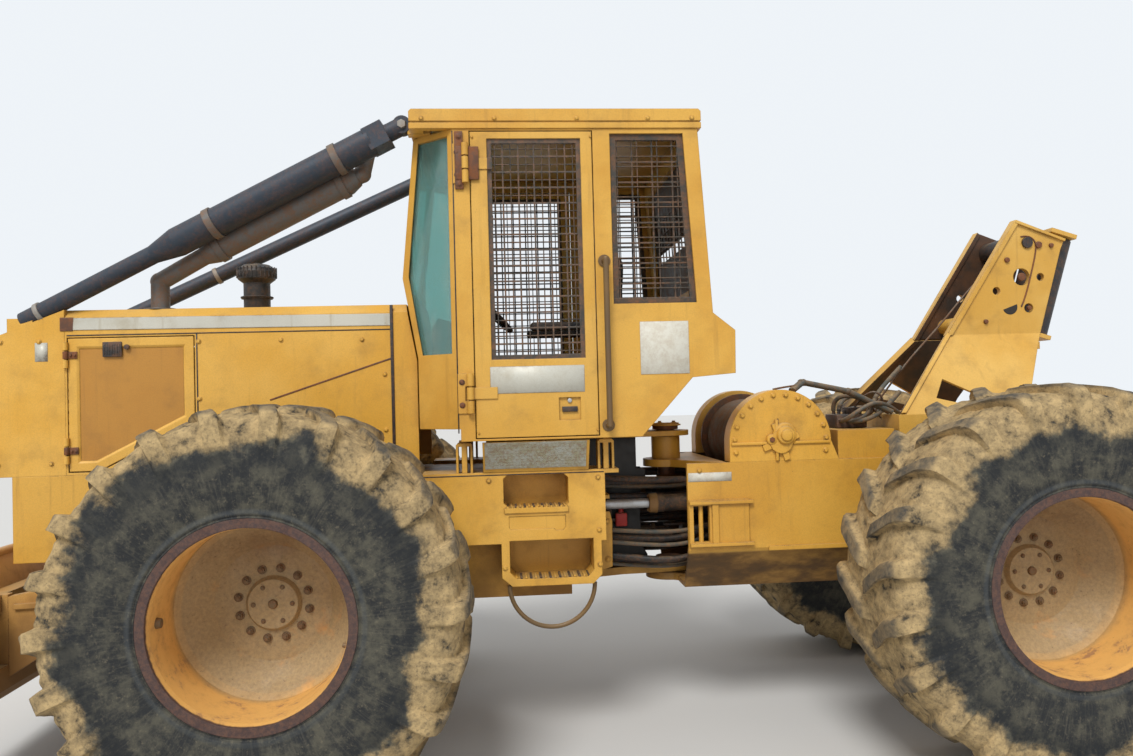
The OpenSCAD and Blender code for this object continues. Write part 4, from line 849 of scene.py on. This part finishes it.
def buildCabTrim():
    addFrame([(-0.208, 2.203), (-0.208, 3.052), (-0.579, 3.052), (-0.628, 2.203)], 0.026, 0.672, 0.6845, 0)
    for i in range(4):
        x = -0.246 - 0.100 * i
        addRod((x, 0.660, 2.22), (x, 0.660, 3.04), wire["radius"], sides=6, finish=1)
    for i in range(17):
        z = 2.235 + 0.05 * i
        left = -0.565 - 0.048 * (3.045 - z) / 0.835
        addRod((left, 0.6655, z), (-0.215, 0.6655, z), wire["radius"], sides=6, finish=1)
    # Blank plate behind the door
    addBox((-0.575, 0.6803, 1.862), (-0.334, 0.6822, 2.120), 0.001, 2)
    # Rusty bracket and hinge plates at the front pillar
    addBox((0.505, 0.6803, 2.775), (0.545, 0.692, 3.055), 0.002, 3)
    addBox((0.43, 0.686, 2.82), (0.54, 0.694, 2.98), 0.002, 3)
    addBolts(0.686, [(0.535, z) for z in (1.735, 1.845, 2.845, 2.955)], 0.009, 0.006, True, 3)
    addBolts(0.692, [(0.525, z) for z in (2.80, 3.03)], 0.009, 0.006, True, 3)
    # Pillar seams and roof bolts
    addBox((0.552, 0.6795, 1.60), (0.558, 0.6815, 3.06), 0.0005, 0)
    addBolts(0.688, [(x, 3.118) for x in (0.70, 0.35, -0.05, -0.40, -0.62)], 0.008, 0.005, True, 4)
    # Slanting sill's chequered skin of bare steel
    for v in addCube((-0.06, -0.001, 1.417), (0.435, 0.002, 1.549), 5)[0]:
        v.co.y += sill["face"] + (v.co.z - sill["foot"]) * sill["slope"]
    for i in range(38):
        for j in range(9):
            x, z = -0.048 + 0.0128 * i, 1.4255 + 0.0145 * j
            y = sill["face"] + 0.002 + (z - sill["foot"]) * sill["slope"]
            tilt = 0.0028 if (i + j) % 2 else -0.0028
            addRod((x - 0.0038, y, z - tilt), (x + 0.0038, y, z + tilt), 0.0016, sides=4, finish=5)


bothSides("cabTrim", buildCabTrim, "front", "rubberSeal guardSteel plateMetal rustySteel cabPaint treadSteel")
print("hood, doors and cab trimmed")

winch = {"x": -1.095, "z": 1.5, "face": 0.450, "bolts": 14, "boltCircle": 0.244, "ring": 0.268, "deck": 1.404}


def buildWinchTrim():
    x, z, y = winch["x"], winch["z"], winch["face"]
    for i in range(winch["bolts"]):
        a = math.radians(-12 + 204 * i / (winch["bolts"] - 1))
        addBolt((x + winch["boltCircle"] * math.cos(a), y, z + winch["boltCircle"] * math.sin(a)), 0.010, 0.008)
    # Flange ring and the split line of the case
    ring = [(x + winch["ring"] * math.cos(math.radians(d)), z + winch["ring"] * math.sin(math.radians(d)))
            for d in range(0, 181, 6)]
    corners = [(x - winch["ring"], winch["deck"]), (x + winch["ring"], winch["deck"])]
    addFrame(ring + corners, 0.052, y - 0.001, y + 0.006)
    addBox((x - 0.262, y, 1.486), (x + 0.262, y + 0.009, 1.502), 0.002)
    # Cast hub: a domed cap behind the upright split, a boss with a rusty plug ahead of it
    for reach, radius in ((0.016, 0.068), (0.034, 0.052), (0.046, 0.034)):
        addStud(x - 0.022, z + 0.034, y - 0.001, y + reach, radius, radius * 0.86, sides=36, soft=0.005)
    addStud(x + 0.050, z + 0.012, y - 0.001, y + 0.020, 0.030, 0.026, sides=24, soft=0.003)
    addStud(x + 0.050, z + 0.012, y + 0.018, y + 0.026, 0.014, sides=6, finish=1)
    addBox((x + 0.014, y - 0.001, z - 0.098), (x + 0.030, y + 0.014, z + 0.115), 0.003)
    addBox((x + 0.009, y - 0.001, z - 0.10), (x + 0.0145, y + 0.0035, z + 0.12), 0.0008, 1)


bothSides("winchTrim", buildWinchTrim, "rear", "winchPaint rustySteel")

# Wire rope laid in turns on the drum
rope = {"coil": 0.210, "radius": 0.0085, "from": -0.252, "to": 0.252}
shape = newShape()
for i in range(int((rope["to"] - rope["from"]) / (2 * rope["radius"]))):
    y = rope["from"] + rope["radius"] * (2 * i + 1)
    start = [shape.verts.new((winch["x"] + rope["coil"] + dx, y + dy, winch["z"]))
             for dx, dy in around(8, rope["radius"])]
    loop = [shape.edges.new(pair) for pair in zip(start, start[1:] + start[:1])]
    bmesh.ops.spin(shape, geom=start + loop, axis=(0, 1, 0), cent=(winch["x"], 0, winch["z"]), angle=math.tau,
                   steps=64, use_merge=True)
bmesh.ops.recalc_face_normals(shape, faces=shape.faces)
finishPiece("ropeTurns", "drum", "ropeSteel", 60)

arch = {"face": 0.21, "legFace": 0.428}


def buildArchTrim():
    y, leg = arch["face"], arch["legFace"]
    for x, z, r in ((-2.692, 2.547, 0.020), (-2.585, 2.367, 0.024), (-2.504, 2.464, 0.015), (-2.767, 2.543, 0.013),
                    (-2.624, 2.192, 0.013), (-2.368, 2.120, 0.013)):
        addStud(x, z, y - 0.004, y + 0.012, r, r * 0.92, sides=20, soft=0.002, finish=1)
    # Half-moon hole: a thin dark plate painted in as the shade inside the hole
    moon = [math.radians(-200 + 180 * i / 16) for i in range(17)]
    addPlate([(-2.514 + 0.043 * math.cos(a), 2.200 + 0.043 * math.sin(a)) for a in moon], y - 0.002, y + 0.0015,
             0.0005, 2)
    # Bosses on the legs
    for x in (-1.80, -2.46):
        addStud(x, 1.46, leg, leg + 0.018, 0.032, 0.028, sides=24, soft=0.002)
        addBolt((x, leg + 0.017, 1.46), 0.012, 0.008, True, 1)


bothSides("archTrim", buildArchTrim, "rear", "archPaint rustySteel cavityPaint")

# Weld bead round the cover of the roller's pin
beadPath = [(-2.590, 2.594), (-2.628, 2.600), (-2.660, 2.588), (-2.680, 2.556), (-2.677, 2.505), (-2.645, 2.385),
            (-2.606, 2.250), (-2.580, 2.200)]
for side, label in ((1, "Left"), (-1, "Right")):
    bead = [(x, side * (arch["face"] + 0.0005), z) for x, z in beadPath]
    makeHoses("archWeld" + label, [bead], 0.0045, "rear", "rustySteel")

# Hoses, drive shaft and fittings between the two frames
joint = {"x": -0.575, "shaft": 0.985, "from": 0.006, "to": -0.88}
hoseBundle = {  # side and height of each hose at the front frame, halfway and at the rear frame
    "wide": [((0.17, 1.33), (0.235, 1.305), (0.29, 1.30)), ((0.118, 1.01), (0.17, 0.975), (0.15, 1.04)),
             ((-0.12, 1.05), (-0.19, 1.0), (-0.15, 1.05)), ((0.17, 0.93), (0.24, 0.875), (0.21, 0.95)),
             ((-0.20, 1.11), (-0.25, 1.06), (-0.20, 1.10)), ((-0.14, 0.92), (-0.18, 0.87), (-0.14, 0.93))],
    "narrow": [((0.11, 1.28), (0.15, 1.26), (0.13, 1.29)), ((-0.13, 1.27), (-0.17, 1.235), (-0.13, 1.27)),
               ((0.22, 1.06), (0.275, 1.03), (0.27, 1.08)), ((0.13, 0.87), (0.18, 0.83), (0.15, 0.89)),
               ((-0.16, 1.33), (-0.19, 1.30), (-0.16, 1.33)), ((0.20, 1.00), (0.255, 0.955), (0.24, 1.02))],
    "packed": [((y, z), (y * 1.04, z - 0.012), (y, z)) for y, z in (
        (0.118, 0.865), (-0.118, 0.905), (0.118, 1.215), (-0.118, 1.255), (0.118, 1.295), (-0.118, 1.335),
        (-0.118, 1.065), (-0.118, 1.105), (-0.118, 1.145), (-0.118, 1.185), (-0.118, 0.95))]}


def hoseRuns(places):
    x0, pivot, x2 = joint["from"], joint["x"], joint["to"]
    return [[(x0, y0, z0), (x0 - 0.18, y0 * 0.7 + y1 * 0.3, z0 * 0.7 + z1 * 0.3 - 0.004),
             (pivot + 0.12, y1, z1 - 0.006), (pivot - 0.10, y1, z1), (x2 + 0.10, y2, z2 - 0.004), (x2, y2, z2)]
            for (y0, z0), (y1, z1), (y2, z2) in places]


acrossJoint = ("front", "rear", (-0.30, 0, 1.0), (-0.85, 0, 1.0))
makeHoses("steeringHoses", hoseRuns(hoseBundle["wide"]), 0.0175, acrossJoint, "oldHose")
makeHoses("brakeHoses", hoseRuns(hoseBundle["narrow"]), 0.0115, acrossJoint, "hoseRubber")
# The packed dark hoses are real hoses that also fill the gap between the frames as painted shade
makeHoses("packedHoses", hoseRuns(hoseBundle["packed"]), 0.0225, acrossJoint, "rubberSeal")


# Hinge plates in near-black greasy paint that also paints the shade in the gap between the frames
def buildHingeWeb():
    addPlate([(0.005, 0.828), (-0.440, 0.828), (-0.440, 0.880), (-0.412, 0.930), (-0.405, 1.090), (-0.412, 1.250),
              (-0.440, 1.300), (-0.440, 1.350), (-0.390, 1.352), (-0.390, 1.528), (0.005, 1.528)], 0.081, 0.093, 0.002)
    for z in (0.90, 1.24):
        addBox((-0.400, 0.070, z), (-0.020, 0.082, z + 0.014), 0.002)


bothSides("hingeWeb", buildHingeWeb, "front", "cavityPaint")

# Drive shaft: a yoke on each half meets at the steering pivot
shaft = {"radius": 0.040, "far": {"front": -0.165, "rear": -1.40}, "ear": (0.036, 0.052), "earWidth": 0.026}
for body, ahead in (("front", 1), ("rear", -1)):
    x, z = joint["x"], joint["shaft"]
    far = shaft["far"][body]
    newShape()
    addRod((x + ahead * 0.095, 0, z), (far, 0, z), shaft["radius"], sides=28)
    addRod((x + ahead * 0.075, 0, z), (x + ahead * 0.100, 0, z), 0.052, 0.046, sides=28, soft=0.003)
    for s in (1, -1):
        low, high = sorted(s * reach for reach in shaft["ear"])
        if ahead > 0:
            addBox((x - 0.022, low, z - shaft["earWidth"]), (x + 0.085, high, z + shaft["earWidth"]), 0.005)
        else:
            addBox((x - 0.085, -shaft["earWidth"], z + low), (x + 0.022, shaft["earWidth"], z + high), 0.005)
    if ahead > 0:
        addRod((x, -0.054, z), (x, 0.054, z), 0.015, soft=0.002)
        addRod((far - 0.020, 0, z), (far + 0.012, 0, z), 0.078, sides=32, soft=0.003)
        for dy, dz in around(8, 0.060):
            addBolt((far - 0.020, dy, z + dz), 0.008, 0.006, False, outward=(-1, 0, 0))
    else:
        addRod((x, 0, z - 0.054), (x, 0, z + 0.054), 0.015, soft=0.002)
        addRod((x - 0.20, 0, z), (x - 0.42, 0, z), 0.049, 0.047, sides=28, soft=0.003)
    finishPiece("driveShaft" + body.capitalize(), body, "darkSteel", 35)

# Valve block with its red valve
newShape()
addBox((-0.245, -0.095, 1.065), (-0.150, 0.105, 1.150), 0.004)
for i in range(5):
    y = -0.09 + 0.042 * i
    addRod((-0.243, y, 1.11), (-0.272, y, 1.11), 0.013, 0.011, sides=6)
    addRod((-0.20, y, 1.148), (-0.20, y, 1.172), 0.012, 0.010, sides=6)
addBox((-0.325, 0.098, 1.045), (-0.262, 0.142, 1.118), 0.006, 1, 3)
addRod((-0.293, 0.12, 1.116), (-0.293, 0.12, 1.142), 0.016, 0.013, sides=20, soft=0.002, finish=1)
addRod((-0.262, 0.12, 1.08), (-0.150, 0.12, 1.08), 0.009, sides=10)
finishPiece("valveBlock", "front", "darkSteel redPaint")


def buildCornerBracket():
    addPlate([(-0.150, 0.84), (-0.218, 0.86), (-0.222, 1.10), (-0.210, 1.15), (-0.150, 1.15)], 0.286, 0.298, 0.002)
    addBolts(0.298, [(-0.195, 0.90), (-0.195, 1.10)], 0.010, 0.008)


bothSides("cornerBracket", buildCornerBracket, "front", "framePaint")


def buildGland():
    addRod((-0.480, 0.20, 1.175), (-0.434, 0.20, 1.175), 0.054, 0.050, sides=32, soft=0.003)
    for z in (1.137, 1.213):
        addBolt((-0.434, 0.20, z), 0.006, 0.005, False, outward=(1, 0, 0))


bothSides("steerGland", buildGland, "steer_barrel_left", "axlePaint")

# Keeper plate over the upper steering pin
newShape()
addRod((joint["x"], 0, 1.584), (joint["x"], 0, 1.592), 0.088, sides=40, soft=0.002)
addBox((joint["x"] - 0.075, -0.03, 1.590), (joint["x"] + 0.15, 0.03, 1.600), 0.003)
for x in (-0.05, 0.03, 0.12):
    addBolt((joint["x"] + x, 0, 1.600), 0.010, 0.008, outward=(0, 0, 1))
finishPiece("pinKeeper", "rear", "framePaint")

# Hoses and valve at the arch's foot, thin cable from the winch
newShape()
addBox((-1.640, 0.10, 1.552), (-1.470, 0.27, 1.625), 0.005)
addBox((-1.620, 0.12, 1.620), (-1.560, 0.25, 1.662), 0.004)
for i in range(4):
    addStud(-1.49 - 0.036 * i, 1.592, 0.268, 0.292, 0.012, 0.010, sides=6)
    addRod((-1.50 - 0.03 * i, 0.15, 1.622), (-1.50 - 0.03 * i, 0.15, 1.644), 0.010, 0.009, sides=6)
finishPiece("archValve", "rear", "darkSteel")
makeHoses("archHoses", [
    [(-1.49, 0.29, 1.592), (-1.49, 0.36, 1.60), (-1.56, 0.39, 1.66), (-1.66, 0.37, 1.70), (-1.76, 0.31, 1.66),
     (-1.84, 0.24, 1.62)],
    [(-1.526, 0.29, 1.592), (-1.54, 0.34, 1.585), (-1.62, 0.36, 1.60), (-1.70, 0.33, 1.64), (-1.80, 0.25, 1.70),
     (-1.86, 0.20, 1.74)],
    [(-1.562, 0.29, 1.592), (-1.60, 0.32, 1.60), (-1.66, 0.30, 1.66), (-1.70, 0.24, 1.72), (-1.80, 0.18, 1.80),
     (-1.90, 0.14, 1.88)],
    [(-1.50, 0.15, 1.644), (-1.49, 0.16, 1.71), (-1.55, 0.24, 1.74), (-1.63, 0.26, 1.70), (-1.74, 0.22, 1.66),
     (-1.84, 0.16, 1.64)],
    [(-1.53, 0.15, 1.644), (-1.55, 0.12, 1.70), (-1.64, 0.10, 1.74), (-1.72, 0.12, 1.70), (-1.80, 0.10, 1.64),
     (-1.88, 0.05, 1.62)],
    [(-1.59, 0.10, 1.60), (-1.60, 0.02, 1.60), (-1.66, -0.06, 1.64), (-1.74, -0.08, 1.66), (-1.84, -0.06, 1.64),
     (-1.90, 0.0, 1.60)]], 0.0125, "rear", "hoseRubber")
makeHoses("archCables", [
    [(-1.10, 0.33, 1.772), (-1.25, 0.335, 1.80), (-1.42, 0.32, 1.785), (-1.58, 0.29, 1.73), (-1.68, 0.25, 1.66),
     (-1.74, 0.22, 1.60)],
    [(-1.60, 0.20, 1.66), (-1.64, 0.28, 1.76), (-1.72, 0.30, 1.74), (-1.74, 0.26, 1.66), (-1.68, 0.22, 1.63),
     (-1.64, 0.26, 1.60)],
    [(-1.72, 0.12, 1.62), (-1.90, 0.12, 1.86), (-2.05, 0.14, 2.02), (-2.20, 0.15, 2.18), (-2.34, 0.14, 2.34),
     (-2.45, 0.13, 2.42)]], 0.0055, "rear", "ropeSteel")

treads = [  # ribs, first place, pitch, width, inner side, bottom and top
    (17, -0.095, 0.024, 0.011, 0.46, 0.8722, 0.880), (15, 0.042, 0.022, 0.010, 0.47, 1.2222, 1.230)]


def buildStepTrim():
    # Serrated treads: narrow ribs, every second one dark steel as the painted shade of the slots between them
    for ribs, first, pitch, width, side, bottom, top in treads:
        for i in range(ribs):
            x = first + pitch * i
            addBox((x, side, bottom), (x + width, 0.577, top), 0.001, i % 2)
    addBolts(0.58, ((-0.12, 1.36), (0.72, 1.36), (0.72, 1.09), (-0.12, 1.10), (0.42, 1.36), (-0.12, 0.93),
                    (0.35, 0.93)), 0.009, 0.006)
    addBox((-0.150, 0.5795, 1.384), (0.75, 0.5815, 1.389), 0.0005, 2)


bothSides("stepTrim", buildStepTrim, "front", "boxPaint darkSteel rubberSeal")


def buildRearTrim():
    addBox((-0.830, 0.4502, 1.306), (-0.602, 0.4516, 1.352), 0.0005, 1)
    addBolts(0.45, [(x, 1.365) for x in (-0.66, -2.35, -2.70)], 0.010, 0.008)


bothSides("rearTrim", buildRearTrim, "rear", "rearPaint plateMetal")

# Bolts of the blade's cutting edge
newShape()
edgeTilt = math.radians(58.8)
edgeDown = Vector((math.sin(edgeTilt), 0, math.cos(edgeTilt)))
for i in range(8):
    spot = Vector((3.340 - middle, -1.05 + 0.3 * i, 0.340)) - edgeDown * 0.012
    addBolt(spot, 0.014, 0.010, outward=-edgeDown)
finishPiece("edgeBolts", "blade", "rustySteel")

# Clamps on the risers
foot, eye = Vector((2.690, 0.388, 2.205)), Vector((0.803, 0.560, 3.120))
ahead = (eye - foot).normalized()
shape = newShape()
for share, radius in ((0.045, 0.052), (0.36, 0.05)):
    centre = foot + (eye - foot) * share
    addRod(centre - ahead * 0.012, centre + ahead * 0.012, radius, sides=28, soft=0.002)
addStud(0.803, 3.12, 0.59, 0.606, 0.026, 0.022, sides=6)
bmesh.ops.mirror(shape, geom=shape.verts[:] + shape.edges[:] + shape.faces[:], matrix=Matrix.Identity(4),
                 merge_dist=0.0, axis="Y")
bmesh.ops.recalc_face_normals(shape, faces=shape.faces)
finishPiece("riserClamps", "front", "clampSteel")

# Ribs, foot and nut of the precleaner's bowl
bowl = {"x": 1.665, "z": 2.483, "radius": 0.103, "ribs": 28, "half": 0.028}
newShape()
for dx, dy in around(bowl["ribs"], bowl["radius"]):
    x = bowl["x"] + dx
    addRod((x, dy, bowl["z"] - bowl["half"]), (x, dy, bowl["z"] + bowl["half"]), 0.0035, sides=6)
addRod((bowl["x"], 0, 2.344), (bowl["x"], 0, 2.352), 0.086, sides=40, soft=0.002)
addRod((bowl["x"], 0, 2.527), (bowl["x"], 0, 2.536), 0.018, sides=12, soft=0.002)
finishPiece("bowlRibs", "front", "blackPlastic", 40)

cushionShape = {"crown": 0.10, "seams": (-0.45, 0.45), "seamWidth": 0.07, "seamDepth": 0.10, "pull": 0.05}


def softBlock(name, low, high, lean=0.0):
    # a crowned pad whose sides pull in between its corners, with two sewn channels
    shape, low, high = newShape(), Vector(low), Vector(high)
    pull = cushionShape["pull"]
    bmesh.ops.create_cube(shape, size=1.0)
    bmesh.ops.subdivide_edges(shape, edges=shape.edges[:], cuts=9, use_grid_fill=True)
    for v in shape.verts:
        p = v.co * 2
        cubes = [abs(c) ** 3 for c in p]
        squash = 1 - 0.10 * (p.x ** 4 + p.y ** 4) / 2 - 0.06 * p.z ** 4
        q = Vector([c * (1 - pull * (sum(cubes) - cube)) for c, cube in zip(p, cubes)]) * squash
        if p.z > 0.5:
            groove = sum(math.exp(-((p.y - s) / cushionShape["seamWidth"]) ** 2) for s in cushionShape["seams"])
            q.z += cushionShape["crown"] * (1 - p.x ** 2) * (1 - p.y ** 2) - groove * cushionShape["seamDepth"]
        v.co = Vector([c * size / 2 for c, size in zip(q, high - low)]) * 0.97
    bmesh.ops.rotate(shape, verts=shape.verts, cent=(0, 0, 0), matrix=Matrix.Rotation(lean, 3, "Y"))
    bmesh.ops.translate(shape, verts=shape.verts, vec=(low + high) / 2)
    piece = finishPiece(name, "front", "seatVinyl", 180)
    curved = piece.modifiers.new("round", "SUBSURF")
    curved.levels = curved.render_levels = 1
    return piece


cushion = softBlock("seatCushion", (-0.250, -0.245, 1.855), (0.242, 0.245, 1.962))
softBlock("seatBack", (-0.56, -0.235, 2.205), (0.02, 0.235, 2.315), math.radians(-97))
newShape()
addBox((-0.170, -0.155, 1.606), (0.100, 0.155, 1.855), 0.012)
for i in range(5):
    addBox((-0.176, -0.161, 1.64 + 0.04 * i), (0.106, 0.161, 1.652 + 0.04 * i), 0.003)
for s in (1, -1):
    arm, post = sorted((s * 0.268, s * 0.322)), sorted((s * 0.242, s * 0.288))
    addBox((-0.203, arm[0], 2.112), (0.183, arm[1], 2.158), 0.014, 0, 3)
    addBox((-0.223, post[0], 1.955), (-0.187, post[1], 2.13), 0.006)
finishPiece("seatBase", "front", "blackPlastic")
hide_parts("seat")
print("details made")
